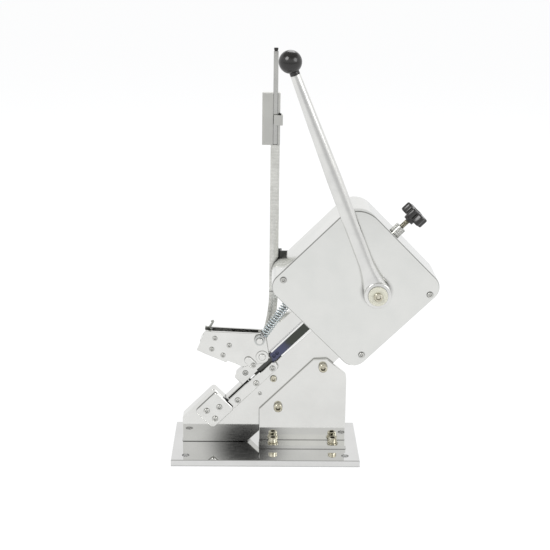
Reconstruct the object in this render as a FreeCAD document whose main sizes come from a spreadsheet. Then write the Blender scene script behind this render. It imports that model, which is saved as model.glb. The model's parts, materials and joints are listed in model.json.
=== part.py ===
import FreeCAD, Part
import math
import os
import Sketcher

# Hand-operated table machine that closes a bag neck with a U-shaped wire clip.
# A lever turns a pinion, the pinion drives a rack, and the rack pushes a ram down a sloping
# channel, so that the ram's punch carries a clip across the open mouth and into the die.
# A gate arm shuts the mouth first, moved by a sprung rod. Clips come down a rail from behind.
# The origin is the centre of the base plate's underside, +X to the operator's right,
# +Y away from the operator, +Z up. Lengths are millimetres and angles are degrees.

# Each size: its name in the sheet, its value, and what it measures on the machine.
SIZES = [
    ("base_length", 280, "base plate, left to right"),
    ("base_depth", 140, "base plate, front to back"),
    ("base_thick", 10, "base plate thickness"),
    ("base_edge", 0.8, "broken edge round the base plate's top"),
    ("base_hole", 11, "bench bolt holes, clearance for M10"),
    ("bench_span_x", 238, "bench bolt holes, left to right"),
    ("bench_span_y", 106, "bench bolt holes, front to back"),
    ("frame_front", 4, "frame plate's front face, ahead of the base's middle line"),
    ("frame_thick", 20, "frame plate thickness"),
    ("frame_left", 126, "frame plate's left edge, left of the base's centre"),
    ("frame_corner", 5, "rounding of the frame plate's outer corners"),
    ("frame_edge", 0.6, "broken edge of the plates"),
    ("fine_edge", 0.5, "broken edge of the strips and the gate arm"),
    ("frame_screw_first", 108, "first screw under the frame plate, left of the base's centre"),
    ("frame_screw_step", 30, "step between the screws under the frame plate"),
    ("base_screw_long", 24, "screws under the frame plate, length under the head"),
    ("sink_wide", 14, "counterbores under the base, diameter"),
    ("sink_deep", 6, "counterbores under the base, depth"),
    ("ram_angle", 45, "slope of the ram"),
    ("die_left", 59.8, "die face on the ram's axis, left of the base's centre"),
    ("die_rise", 68.1, "die face on the ram's axis, above the base plate"),
    ("die_block_height", 27.3, "die block's top, square to the ram's axis"),
    ("mouth_width", 37.3, "mouth, from the die face to the nose"),
    ("mouth_floor", 1.9, "mouth's floor, above the ram's axis"),
    ("nose_height", 20, "nose, above the ram's axis"),
    ("nose_length", 33, "nose, along the ram"),
    ("band_height", 32, "frame's upper edge, above the ram's axis"),
    ("band_start", 92, "where the frame's upper edge starts, from the die face"),
    ("under_edge", 70.5, "frame's under edge, below the ram's axis"),
    ("strip_end", 96.6, "guide strips' upper ends, from the die face"),
    ("strip_thick", 5, "guide strips and die plate, thickness"),
    ("low_strip_top", 1.8, "lower strip's upper edge, below the ram's axis"),
    ("low_strip_wide", 14.9, "lower strip, width"),
    ("low_strip_start", 2, "lower strip's lower end, from the die face"),
    ("high_strip_wide", 17.9, "upper strip, width"),
    ("slit_step", 69, "where the slit between the strips widens, from the die face"),
    ("wide_slit", 7.4, "slit between the strips, wide part"),
    ("die_plate_long", 45, "die plate, along the ram"),
    ("die_plate_low", 17, "die plate, below the ram's axis"),
    ("die_plate_high", 21, "die plate, above the ram's axis"),
    ("die_plate_corner", 4.5, "die plate's corners, radius"),
    ("low_strip_corner", 5.5, "lower strip's upper corners, radius"),
    ("high_strip_corner", 7, "upper strip's upper corner, radius"),
    ("high_strip_toe", 2, "upper strip's lower corner, radius"),
    ("strip_sink", 2.7, "counterbore in the upper strip, which the gate arm passes"),
    ("screw_deep", 8, "small screws, depth in the frame plate"),
    ("bolt_deep", 12, "bolts, depth in the frame plate"),
    ("die_long", 22, "die, along the ram"),
    ("die_gap", 0.02, "die's clearance in its groove"),
    ("curl_wide", 5.2, "die's two curls that bend the clip's legs, diameter"),
    ("curl_place", 3.1, "those curls, from the ram's axis"),
    ("curl_floor", 0.8, "die left under the curls"),
    ("ram_high", 12.6, "ram bar, height across the slope"),
    ("ram_thick", 13, "ram bar, front to back"),
    ("ram_inset", 0.2, "ram bar's front face, behind the frame's front face"),
    ("slide_gap", 0.2, "clearance beside and behind the ram"),
    ("window_under", 1.7, "frame's window, gap under the ram"),
    ("window_over", 4, "frame's window, gap over the ram"),
    ("ram_stroke", 49.8, "ram's whole stroke"),
    ("punch_thick", 4, "punch blade thickness"),
    ("punch_tip", 62, "punch tip at rest, from the die face"),
    ("punch_long", 50, "punch blade, length"),
    ("punch_lap", 14, "lap of the punch on the ram"),
    ("punch_bite", 8, "round hollow in the punch's tip, diameter"),
    ("punch_bite_out", 2.2, "that hollow's middle, beyond the tip"),
    ("punch_sink", 2, "depth left under the punch screws' heads"),
    ("channel_end_gap", 3, "channel beyond the ram's full stroke"),
    ("clip_port", 10, "hole by which clips enter from behind, along the ram"),
    ("clip_port_place", 51.5, "that hole, from the die face"),
    ("box_start", 175.5, "gear housing's lower side, from the die face"),
    ("box_side", 184.5, "gear housing, outer side"),
    ("box_shift", 0.75, "gear housing's centre, above the ram's axis"),
    ("box_front", 34, "cover's front face, ahead of the base's middle line"),
    ("box_back", 45, "housing's back face, behind the base's middle line"),
    ("box_wall", 5, "housing side walls"),
    ("box_floor", 4, "housing back wall"),
    ("box_corner", 21, "housing's side corners, radius"),
    ("box_top_corner", 32, "housing's top corner, radius"),
    ("cover_thick", 3, "front cover thickness"),
    ("cover_inset", 1.2, "cover's edge, inside the housing's outline"),
    ("cover_top_corner", 38, "cover's top corner, radius"),
    ("cover_edge", 0.4, "broken edge of the cover and the tab"),
    ("post_wide", 11, "posts for the cover screws, diameter"),
    ("cover_screw_long", 13, "cover screws, length under the head"),
    ("frame_in_box", 60, "frame plate's reach into the housing"),
    ("frame_slot_gap", 0.3, "clearance of the frame plate in the housing's wall"),
    ("shaft_place", 109.9, "drive shaft, along the ram from the housing's lower side"),
    ("shaft_drop", 24, "drive shaft, below the ram's axis"),
    ("shaft_wide", 20, "drive shaft diameter"),
    ("bush_wall", 4, "shaft bush wall"),
    ("bush_flange", 3, "bush flange, beyond the bush"),
    ("bush_back_long", 12, "back bush, length of its flange"),
    ("bush_front_long", 8, "front bush, length of its flange"),
    ("bush_out", 4, "front bush, ahead of the cover"),
    ("shaft_end_gap", 2, "shaft's back end, inside the bush"),
    ("key_wide", 6, "pinion key, width"),
    ("key_deep", 3, "pinion key, depth in the shaft and in the pinion"),
    ("run_gap", 0.05, "running clearance of a turning piece, on the radius"),
    ("gear_module", 2, "pinion and rack module"),
    ("gear_teeth", 30, "pinion teeth"),
    ("gear_face", 12, "pinion and rack width"),
    ("pressure_angle", 20, "pressure angle of the teeth"),
    ("root_ratio", 1.25, "tooth below the pitch line, as a multiple of the module"),
    ("gear_play", 0.25, "play between the teeth"),
    ("rack_high", 13.5, "rack bar above the tooth roots"),
    ("rack_front", 268, "rack's lower end at rest, from the die face"),
    ("rack_back", 345.5, "rack's and ram's upper ends at rest, from the die face"),
    ("carriage_front", 290, "carriage's lower end at rest, from the die face"),
    ("guide_front", 190, "rack guide's lower end, from the die face"),
    ("guide_back", 350, "rack guide's upper end, from the die face"),
    ("guide_gap", 0.2, "clearance between the rack and its guide"),
    ("lever_lean", 21.5, "lever at rest, left of upright"),
    ("lever_reach", 355.9, "drive shaft to the middle of the ball"),
    ("lever_thin", 12, "lever rod at the ball, diameter"),
    ("lever_knee", 13, "lever rod at its middle, diameter"),
    ("lever_knee_share", 0.52, "place of the lever rod's middle, as a share of its length"),
    ("lever_fat", 18.5, "lever rod at the hub, diameter"),
    ("flare_end", 42, "end of the lever's flare, from the shaft"),
    ("flare_thick", 16.4, "lever's flare at the eye, front to back"),
    ("lever_out", 6.5, "lever's outward lean from hub to ball"),
    ("hub_wide", 36, "lever hub diameter"),
    ("hub_back", 40, "hub's inner face, ahead of the base's middle line"),
    ("hub_thick", 18, "hub thickness"),
    ("hub_edge", 1.2, "broken edges of the hub"),
    ("lever_set_back", 0.5, "lever rod's axis, behind the hub's middle"),
    ("ball_wide", 32, "ball knob diameter"),
    ("collar_wide", 14, "ball knob's neck diameter"),
    ("collar_long", 6, "ball knob's neck length"),
    ("ball_bore", 9, "depth of the lever in the ball knob"),
    ("nylon_wide", 28, "nylon washer diameter"),
    ("nylon_thick", 4, "nylon washer thickness"),
    ("nylon_edge", 0.6, "broken edges of the nylon washer"),
    ("lever_bolt_deep", 16, "lever bolt, depth in the shaft"),
    ("arm_play", 0.3, "gate arm's clearance ahead of the strips"),
    ("arm_thick", 4, "gate arm plates, thickness"),
    ("arm_gap", 19, "gap between the gate arm's plates"),
    ("arm_corner", 1, "gate arm's front plate, small corners, radius"),
    ("pivot_along", 90.8, "gate pivot, from the die face"),
    ("pivot_high", 14.4, "gate pivot, above the ram's axis"),
    ("pivot_wide", 6, "gate pivot pin and rod bolt, diameter"),
    ("pivot_boss", 10, "gate arm's rounding at the pivot"),
    ("pivot_back_boss", 5.5, "back plate's rounding at the pivot"),
    ("pin_head", 9.6, "heads of the pivot pin and the rod bolt, diameter"),
    ("pin_flange", 18, "flange under the pivot pin's head, diameter"),
    ("pin_flange_thick", 1, "flange under the pivot pin's head, thickness"),
    ("pin_head_high", 2.4, "heads of the pivot pin and the rod bolt, height"),
    ("pin_tail", 8, "pivot pin, behind the gate arm's back plate"),
    ("pin_thread_left", 1, "pivot pin, beyond its nut"),
    ("nut_across", 10, "pivot nut, across flats"),
    ("tab_start", 66.9, "tab on the gate arm, from the die face"),
    ("tab_wide", 10.7, "tab on the gate arm, along the ram"),
    ("tab_low", 10.6, "tab on the gate arm, above the ram's axis"),
    ("tab_long", 19.8, "tab on the gate arm, across the ram"),
    ("tab_corner", 5, "tab on the gate arm, corner radius"),
    ("tab_thick", 3, "tab on the gate arm, thickness"),
    ("jaw_deep", 10, "jaw screws, depth in the jaw block"),
    ("rod_along", 107.1, "sprung rod's bolt, from the die face"),
    ("rod_high", 36.5, "sprung rod's bolt, above the ram's axis"),
    ("rod_end", 9, "gate arm's rounding at the sprung rod"),
    ("rod_rise", 10.5, "sprung rod's angle to the ram at rest"),
    ("rod_wide", 6, "sprung rod diameter"),
    ("rod_long", 118, "sprung rod, from its bolt to its inner end"),
    ("rod_hole", 18, "hole for the sprung rod in the housing's wall"),
    ("rod_hole_high", 50.6, "that hole, above the ram's axis"),
    ("eye_thick", 6.6, "sprung rod's eye, thickness"),
    ("eye_wide", 15.2, "sprung rod's eye, diameter"),
    ("ring_wide", 12.8, "spring's end collars, diameter"),
    ("ring_low", 0.8, "collar at the eye, thickness"),
    ("ring_high", 5, "collar at the inner end, thickness"),
    ("coil_wide", 13.4, "spring outer diameter"),
    ("wire_wide", 1.6, "spring wire diameter"),
    ("coil_start", 11, "spring's first turn, from the rod's bolt"),
    ("coil_long", 70, "spring length"),
    ("coil_turns", 16, "spring turns"),
    ("bracket_left", 9.5, "bracket's left edge, left of the base's centre"),
    ("bracket_right", 121.1, "bracket's right edge, right of the base's centre"),
    ("bracket_thick", 6, "bracket plate thickness"),
    ("bracket_foot", 26, "bracket foot, front to back"),
    ("bracket_edge", 44.5, "bracket's sloping edge, below the ram's axis"),
    ("bracket_peak", 141.4, "end of that edge, from the die face"),
    ("bracket_shoulder", 91.4, "right end of the bracket's top, right of the centre"),
    ("bracket_top_rise", 1, "rise of the bracket's top from left to right"),
    ("bracket_side", 106.3, "bracket's right edge, height"),
    ("bracket_bevel", 114.3, "upper end of the short bevel over that edge, height"),
    ("bracket_bevel_in", 1.3, "that bevel, inwards"),
    ("bracket_top_corner", 6, "rounding at the right end of the bracket's top"),
    ("bracket_side_corner", 3, "rounding at the ends of the short bevel"),
    ("foot_bolt_left", 11.4, "left foot bolt, right of the base's centre"),
    ("foot_bolt_right", 101.8, "right foot bolt, right of the base's centre"),
    ("foot_bolt_out", 21, "foot bolts, ahead of the base's middle line"),
    ("foot_bolt_long", 17.4, "foot bolts, length under the head"),
    ("washer_wide", 16, "foot bolt washers, diameter"),
    ("washer_thick", 1.6, "foot bolt washers, thickness"),
    ("big_bolt", 8, "foot, bracket and lever bolts, thread"),
    ("middle_bolt", 6, "housing bolts and the yellow face bolt, thread"),
    ("small_screw", 5, "strip, die plate, cover, rack and guide screws, thread"),
    ("jaw_screw", 4, "jaw, tab and rail bracket screws, thread"),
    ("fine_screw", 3, "punch, face and rail screws and the finger's pin, thread"),
    ("tiny_screw", 2.5, "weight's screw, thread"),
    ("head_ratio", 1.6, "screw head, width as a multiple of the thread"),
    ("cap_head", 1, "tall screw head, height as a multiple of the thread"),
    ("low_head", 0.5, "low screw head, height as a multiple of the thread"),
    ("socket_ratio", 0.85, "screw's socket, width as a multiple of the thread"),
    ("head_edge_part", 14, "screw head's width, as a multiple of its broken edge"),
    ("rail_right", 10.8, "clip rail, right of the base's centre"),
    ("rail_behind", 54, "clip rail, behind the base's middle line"),
    ("rail_wide", 6.9, "clip rail width"),
    ("rail_thick", 4, "clip rail thickness"),
    ("rail_top", 596, "clip rail's upper end, above the base plate's underside"),
    ("rail_cap", 5, "rail's end stop, height"),
    ("rail_cap_wide", 10, "rail's end stop, width"),
    ("rail_cap_deep", 8, "rail's end stop, front to back"),
    ("rail_cap_edge", 1, "rounded edges of the rail's end stop"),
    ("bend_top", 235, "start of the rail's bend, above the base plate's underside"),
    ("bend_drop", 78, "pull of the bend's upper end downwards"),
    ("bend_pull", 36, "pull of the bend's lower end backwards, from the frame plate"),
    ("bend_end", 8, "lower end of the bend, behind the frame plate"),
    ("rail_tail", 5, "rail's lower end, inside the frame plate's back face"),
    ("strap_low", 265, "rail bracket's lower edge, above the base plate's underside"),
    ("strap_tall", 35, "rail bracket, height"),
    ("strap_step", 15, "lower part of the bracket without its arm, height"),
    ("strap_thick", 3, "rail bracket's foot, thickness"),
    ("strap_arm", 4, "rail bracket's arm, thickness"),
    ("strap_left", 6, "rail bracket's arm, left of the rail's middle"),
    ("strap_bend", 19.5, "rail bracket's bend, right of the base's centre"),
    ("strap_right", 40, "rail bracket's right edge, right of the base's centre"),
    ("rail_screw_place", 290, "screw from the bracket into the rail, height"),
    ("rail_screw_deep", 2.5, "that screw's depth in the rail"),
    ("clip_wide", 13.3, "clip width over its legs"),
    ("clip_crown", 2.6, "clip crown, ahead of the rail"),
    ("clip_gap", 0.05, "clips' clearance on the rail"),
    ("port_gap", 0.25, "clips' clearance in the hole in the frame plate"),
    ("weight_low", 460, "weight's lower end, above the base plate's underside"),
    ("weight_tall", 76, "weight, height"),
    ("weight_left", 19.4, "weight, left of the rail's middle"),
    ("weight_right", 7, "weight, right of the rail's middle"),
    ("weight_thick", 12, "weight, front to back"),
    ("weight_corner", 1, "weight's corners, radius"),
    ("weight_gap", 0.15, "weight's clearance on the rail"),
    ("weight_out", 4, "weight's front face, ahead of the rail's middle"),
    ("clamp_low", 489.6, "clamp block's lower face, above the base plate's underside"),
    ("clamp_tall", 15, "clamp block, height"),
    ("clamp_left", 2.4, "clamp block, left of the rail's middle"),
    ("clamp_right", 10.7, "clamp block, right of the rail's middle"),
    ("clamp_thick", 4, "clamp block, ahead of the weight"),
    ("clamp_cheek", 9, "clamp block's cheek beside the weight, front to back"),
    ("weight_screw_place", 6.6, "weight's screw, right of the rail's middle"),
    ("weight_screw_out", 2.2, "weight's screw, ahead of the weight"),
    ("weight_screw_long", 10, "weight's screw, length under the head"),
    ("knob_wide", 40, "star knob diameter"),
    ("knob_place", 392, "star knob's inner face, from the die face"),
    ("knob_thick", 15, "star knob thickness"),
    ("knob_edge", 2, "broken edges of the star knob"),
    ("knob_lobes", 6, "star knob's lobes"),
    ("scallop_wide", 14, "hollows between the knob's lobes, diameter"),
    ("scallop_place", 22.6, "those hollows, from the knob's axis"),
    ("knob_neck", 17, "star knob's neck, diameter"),
    ("knob_neck_long", 5, "star knob's neck, length"),
    ("adjust_wide", 8, "adjusting screw diameter"),
    ("adjust_gap", 0.4, "adjusting screw's tip, behind the rack at rest"),
    ("adjust_point", 1.2, "adjusting screw's bevelled tip"),
    ("lock_nut_wide", 17, "lock nut, diameter"),
    ("lock_nut_long", 14, "lock nut, length"),
    ("knurl_grooves", 18, "grooves round the lock nut"),
    ("knurl_wide", 1.6, "those grooves, diameter"),
    ("finger_thick", 4, "latch finger, thickness"),
    ("finger_gap", 0.2, "latch finger's clearance in its slot"),
    ("finger_left", 86.2, "latch finger's pin, left of the base's centre"),
    ("finger_high", 186.6, "latch finger's pin, above the base plate's underside"),
    ("finger_foot", 2.4, "rounding of the latch finger's foot"),
    ("finger_slot_left", 7.3, "latch finger's slot, left of its pin"),
    ("finger_slot_right", 7.2, "latch finger's slot, right of its pin"),
    ("finger_slot_low", 5.1, "latch finger's slot, below its pin"),
    ("finger_slot_high", 6.4, "latch finger's slot, above its pin"),
]

VALUES = {name: value for name, value, _ in SIZES}

doc = FreeCAD.newDocument("clip_machine")
sheet = doc.addObject("Spreadsheet::Sheet", "Sizes")
for row, (name, value, note) in enumerate(SIZES, start=1):
    sheet.set(f"A{row}", str(value))
    sheet.setAlias(f"A{row}", name)
    sheet.set(f"B{row}", note)
doc.recompute()


class Size:
    """A length or angle: its worth now, and the sheet formula that gives it."""

    def __init__(self, text, worth):
        self.text, self.worth = text, float(worth)

    def joined(self, sign, other, worth, swap=False):
        left, right = (other.text, self.text) if swap else (self.text, other.text)
        return Size(f"({left} {sign} {right})", worth)

    def __add__(self, other):
        other = sized(other)
        return self.joined("+", other, self.worth + other.worth)

    def __sub__(self, other):
        other = sized(other)
        return self.joined("-", other, self.worth - other.worth)

    def __mul__(self, other):
        other = sized(other)
        return self.joined("*", other, self.worth * other.worth)

    def __truediv__(self, other):
        other = sized(other)
        return self.joined("/", other, self.worth / other.worth)

    def __rsub__(self, other):
        return sized(other) - self

    def __rtruediv__(self, other):
        return sized(other) / self

    def __neg__(self):
        return Size(f"(0 - {self.text})", -self.worth)

    def __float__(self):
        return self.worth

    __radd__ = __add__
    __rmul__ = __mul__


def sized(value):
    """A plain number as a Size, and a Size as it is."""
    return value if isinstance(value, Size) else Size(f"({float(value)!r})", value)


def cosine(angle):
    return Size(f"cos({angle.text})", math.cos(math.radians(float(angle))))


def sine(angle):
    return Size(f"sin({angle.text})", math.sin(math.radians(float(angle))))


class Sheet:
    """Every size of the sheet by its name, as S.base_length."""

    def __getattr__(self, name):
        return Size(f"Sizes.{name}", VALUES[name])


S = Sheet()
V = FreeCAD.Vector

# Not sizes of the machine: how far a cut or a joined pad reaches past the face that it meets,
# and how close two numbers lie when they count as the same.
PAST = 1
BURIED = 0.5
NEAR = 1e-6
SAME_SPOT = 1e-4

# Directions in which the pieces are drawn. In each of the two upright views the local z
# points to the front, so a level is a distance ahead of the base's middle line.
UPRIGHT = FreeCAD.Rotation(V(1, 0, 0), 90)
SLOPED = FreeCAD.Rotation(V(0, 1, 0), -float(S.ram_angle)) * UPRIGHT
DIE_X = -S.die_left
DIE_Z = S.base_thick + S.die_rise
front_view = FreeCAD.Placement(V(0, 0, 0), UPRIGHT)
ram_view = FreeCAD.Placement(V(float(DIE_X), 0, float(DIE_Z)), SLOPED)
floor_view = FreeCAD.Placement()


def along(distance, height):
    """Right and up of a point given by its distance along the ram and its height across."""
    c, s = cosine(S.ram_angle), sine(S.ram_angle)
    distance, height = sized(distance), sized(height)
    return DIE_X + distance * c - height * s, DIE_Z + distance * s + height * c


def moved(view, x=0, y=0, z=0, turn=None):
    """A view shifted, and perhaps turned, in its own directions."""
    shift = FreeCAD.Placement(V(float(x), float(y), float(z)), turn or FreeCAD.Rotation())
    return view * shift


def tie(thing, field, value):
    """Binds one field of an object to its sheet formula."""
    thing.setExpression(field, sized(value).text)


def start_body(label, view):
    body = doc.addObject("PartDesign::Body", label)
    body.Label = label
    body.Placement = view
    return body


def start_sketch(body, level=0, plane="XY_Plane"):
    sketch = body.newObject("Sketcher::SketchObject", f"{body.Name}_sketch")
    support = next(f for f in body.Origin.OriginFeatures if f.Role == plane)
    sketch.AttachmentSupport = [(support, "")]
    sketch.MapMode = "FlatFace"
    tie(sketch, "AttachmentOffset.Base.z", level)
    return sketch


def bind(sketch, kind, places, value):
    """Adds one dimension to a sketch and binds it to its sheet formula."""
    value = sized(value)
    index = sketch.addConstraint(Sketcher.Constraint(kind, *places, float(value)))
    sketch.setExpression(f"Constraints[{index}]", value.text)


def draw_outline(sketch, corners):
    """A closed outline of straight sides, with every corner bound to the sheet."""
    points = [V(float(x), float(y), 0) for x, y in corners]
    lines = [Part.LineSegment(a, b) for a, b in zip(points, points[1:] + points[:1])]
    edges = [sketch.addGeometry(line, False) for line in lines]
    for edge, following in zip(edges, edges[1:] + edges[:1]):
        sketch.addConstraint(Sketcher.Constraint("Coincident", edge, 2, following, 1))
    for edge, (x, y) in zip(edges, corners):
        bind(sketch, "DistanceX", (-1, 1, edge, 1), x)
        bind(sketch, "DistanceY", (-1, 1, edge, 1), y)


def draw_circles(sketch, circles):
    """Circles given as right, up and diameter."""
    for x, y, diameter in circles:
        circle = Part.Circle(V(float(x), float(y), 0), V(0, 0, 1), float(diameter) / 2)
        edge = sketch.addGeometry(circle, False)
        bind(sketch, "DistanceX", (-1, 1, edge, 3), x)
        bind(sketch, "DistanceY", (-1, 1, edge, 3), y)
        bind(sketch, "Diameter", (edge,), diameter)


def add_pad(body, sketch, length):
    pad = body.newObject("PartDesign::Pad", f"{body.Name}_pad")
    pad.Profile = sketch
    tie(pad, "Length", length)
    doc.recompute()
    return pad


def add_pocket(body, sketch, depth):
    """Cuts from the sketch's level towards local +z."""
    before = body.Shape.Volume
    pocket = body.newObject("PartDesign::Pocket", f"{body.Name}_pocket")
    pocket.Profile = sketch
    pocket.Reversed = True
    tie(pocket, "Length", depth)
    doc.recompute()
    if body.Shape.Volume >= before - NEAR:
        raise ValueError(f"{pocket.Name} cuts nothing")
    return pocket


def pad_outline(body, corners, level, length):
    sketch = start_sketch(body, level)
    draw_outline(sketch, corners)
    return add_pad(body, sketch, length)


def cut_outline(body, corners, level, depth):
    sketch = start_sketch(body, level)
    draw_outline(sketch, corners)
    return add_pocket(body, sketch, depth)


def cut_circles(body, circles, level, depth):
    sketch = start_sketch(body, level)
    draw_circles(sketch, circles)
    return add_pocket(body, sketch, depth)


def box_corners(left, low, right, high):
    return [(left, low), (right, low), (right, high), (left, high)]


def round_corners(body, corners, radius):
    """Fillets the edges that run along local z at the given corners."""
    radius = sized(radius)
    tip = body.Tip
    names = []
    for number, edge in enumerate(tip.Shape.Edges, start=1):
        ends = [v.Point for v in edge.Vertexes]
        if len(ends) != 2 or abs(ends[0].z - ends[1].z) < NEAR:
            continue
        if math.hypot(ends[0].x - ends[1].x, ends[0].y - ends[1].y) > NEAR:
            continue
        spots = [math.hypot(ends[0].x - float(x), ends[0].y - float(y)) for x, y in corners]
        if min(spots) < SAME_SPOT:
            names.append(f"Edge{number}")
    fillet = body.newObject("PartDesign::Fillet", f"{body.Name}_rounding")
    fillet.Base = (tip, names)
    tie(fillet, "Radius", radius)
    doc.recompute()
    if not names or fillet.Shape.isNull():
        raise ValueError(f"{fillet.Name} has no shape")
    return fillet


def break_edges(body, level, size):
    """Chamfers the outer edges of the flat face at that level."""
    tip = body.Tip
    names = []
    for number, edge in enumerate(tip.Shape.Edges, start=1):
        box = edge.BoundBox
        if abs(box.ZMin - float(level)) < NEAR and abs(box.ZMax - float(level)) < NEAR:
            names.append(f"Edge{number}")
    chamfer = body.newObject("PartDesign::Chamfer", f"{body.Name}_edges")
    chamfer.Base = (tip, names)
    tie(chamfer, "Size", size)
    doc.recompute()
    if not names or chamfer.Shape.isNull():
        raise ValueError(f"{chamfer.Name} has no shape")
    return chamfer


def turned(label, view, profile):
    """A piece turned about local z, from corners given as radius and height."""
    body = start_body(label, view)
    sketch = start_sketch(body, 0, "XZ_Plane")
    draw_outline(sketch, profile)
    revolution = body.newObject("PartDesign::Revolution", f"{label}_turning")
    revolution.Profile = sketch
    revolution.ReferenceAxis = (sketch, ["V_Axis"])
    revolution.Angle = 360
    doc.recompute()
    return body


def group(label, view, shapes):
    """One node of solids drawn in a view, such as a set of like screws."""
    feature = doc.addObject("Part::Feature", label)
    feature.Label = label
    single = len(shapes) == 1 and shapes[0].Placement.isIdentity()
    feature.Shape = shapes[0] if single else Part.makeCompound(shapes)
    feature.Placement = view
    return feature


def cylinder(diameter, low, high, x=0, y=0):
    foot = V(float(x), float(y), float(low))
    return Part.makeCylinder(float(diameter) / 2, float(high) - float(low), foot)


def hexagon(across, level):
    """A flat six-sided outline with the given width across its flats."""
    reach = float(across) / 2 / math.cos(math.radians(30))
    turns = [math.radians(60 * corner) for corner in range(7)]
    return Part.Face(Part.makePolygon([
        V(reach * math.cos(turn), reach * math.sin(turn), float(level)) for turn in turns]))


def screw(thread, under, length, tall=S.low_head):
    """A socket head screw along local z, its head's underside at that level."""
    head_wide, head_high = thread * S.head_ratio, (thread * tall).worth
    shank = cylinder(thread, under - length, under)
    head = cylinder(head_wide, under, under + head_high)
    top = float(under) + head_high
    rim = [edge for edge in head.Edges if abs(edge.BoundBox.ZMin - top) < NEAR]
    head = head.makeChamfer((head_wide / S.head_edge_part).worth, rim[:1])
    recess = hexagon(thread * S.socket_ratio, top - head_high / 2).extrude(V(0, 0, head_high))
    return shank.fuse(head).removeSplitter().cut(recess)


def placed(shape, x=0, y=0, z=0, turn=None):
    """A copy of a shape shifted, and perhaps turned, in its own directions."""
    copy = shape.copy()
    copy.Placement = moved(FreeCAD.Placement(), x, y, z, turn) * shape.Placement
    return copy


def at_all(shape, places):
    """Copies of a shape at every place."""
    return [placed(shape, x, y) for x, y in places]


def holes(places, diameter):
    """Circles of one diameter at every place."""
    return [(x, y, diameter) for x, y in places]


# Levels ahead of the base's middle line that several pieces share.
frame_back = S.frame_front - S.frame_thick
strip_face = S.frame_front + S.strip_thick
ram_front = S.frame_front - S.ram_inset
ram_back = ram_front - S.ram_thick
channel_floor = ram_back - S.slide_gap
channel_half = S.ram_high / 2 + S.slide_gap
gear_back = S.frame_front + S.arm_play
gear_front = gear_back + S.gear_face
arm_back_level = strip_face + S.arm_play
arm_front_level = arm_back_level + S.arm_thick
shaft_along = S.box_start + S.shaft_place
pitch_radius = S.gear_module * S.gear_teeth / 2
pitch_height = pitch_radius - S.shaft_drop
box_low = S.box_shift - S.box_side / 2
box_high = S.box_shift + S.box_side / 2
box_end = S.box_start + S.box_side
shell_front = S.box_front - S.cover_thick
ram_top = S.ram_high / 2
rack_root = pitch_height + S.gear_module * S.root_ratio
rack_top = rack_root + S.rack_high
rack_middle = (rack_root + rack_top) / 2
gear_middle = (gear_back + gear_front) / 2
BASE_TOP = S.base_thick

# Base plate with its bench bolt holes, foot bolt holes and counterbored frame screw holes.
bench_bolts = [(S.bench_span_x / 2 * i, S.bench_span_y / 2 * j) for i in (-1, 1) for j in (-1, 1)]
foot_bolts = [(S.foot_bolt_left, -S.foot_bolt_out), (S.foot_bolt_right, -S.foot_bolt_out)]
frame_middle_y = S.frame_thick / 2 - S.frame_front
frame_screws = [(S.frame_screw_step * step - S.frame_screw_first, frame_middle_y) for step in range(3)]
base = start_body("base_plate", floor_view)
half_x, half_y = S.base_length / 2, S.base_depth / 2
base_outline = box_corners(-half_x, -half_y, half_x, half_y)
pad_outline(base, base_outline, 0, BASE_TOP)
break_edges(base, BASE_TOP, S.base_edge)
cut_circles(base, holes(bench_bolts, S.base_hole), 0, BASE_TOP)
cut_circles(base, holes(foot_bolts + frame_screws, S.big_bolt), 0, BASE_TOP)
cut_circles(base, holes(frame_screws, S.sink_wide), 0, S.sink_deep)


# Frame plate: stands on the base, holds the die, the channel and the housing.
def slope_meets_left(height):
    """Where a line at that height above the ram's axis meets the frame's left edge."""
    c, s = cosine(S.ram_angle), sine(S.ram_angle)
    distance = (S.die_left - S.frame_left + height * s) / c
    return along(distance, height)


def slope_meets_base(height):
    """Where a line at that height above the ram's axis meets the base plate."""
    c, s = cosine(S.ram_angle), sine(S.ram_angle)
    distance = (BASE_TOP - DIE_Z - height * c) / s
    return along(distance, height)


frame_end = S.box_start + S.frame_in_box
die_top = along(0, S.die_block_height)
nose_top = along(S.mouth_width, S.nose_height)
chamfer_low = slope_meets_left(S.die_block_height)
frame_outline = [
    (-S.frame_left, BASE_TOP),
    slope_meets_base(-S.under_edge),
    along(frame_end, -S.under_edge),
    along(frame_end, S.band_height),
    along(S.band_start, S.band_height),
    along(S.mouth_width + S.nose_length, S.nose_height),
    nose_top,
    along(S.mouth_width, S.mouth_floor),
    along(0, S.mouth_floor),
    die_top,
    chamfer_low,
]
frame = start_body("frame_plate", front_view)
pad_outline(frame, frame_outline, frame_back, S.frame_thick)
round_corners(frame, [die_top, chamfer_low, nose_top], S.frame_corner)


def sloped_box(start, low, end, high):
    """Corners of a rectangle along the ram, in the upright view."""
    return [along(start, low), along(end, low), along(end, high), along(start, high)]


window_low, window_high = -(ram_top + S.window_under), ram_top + S.window_over
window = sloped_box(S.strip_end, window_low, frame_end + PAST, window_high)
cut_outline(frame, window, frame_back, S.frame_thick)
lap_start = S.punch_tip + S.punch_long - S.punch_lap
deep_start = lap_start - S.ram_stroke - S.channel_end_gap
cut_outline(
    frame, sloped_box(deep_start, -channel_half, S.strip_end + PAST, channel_half),
    channel_floor, S.frame_front - channel_floor,
)
groove_floor = ram_front - S.punch_thick - S.slide_gap
cut_outline(
    frame, sloped_box(-S.die_long, -channel_half, deep_start + PAST, channel_half),
    groove_floor, S.frame_front - groove_floor,
)
port_low, port_high = S.clip_port_place - S.clip_port / 2, S.clip_port_place + S.clip_port / 2
port_half = S.clip_wide / 2 + S.port_gap
cut_outline(
    frame, sloped_box(port_low, -port_half, port_high, port_half),
    frame_back, channel_floor - frame_back,
)
break_edges(frame, S.frame_front, S.frame_edge)

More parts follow.
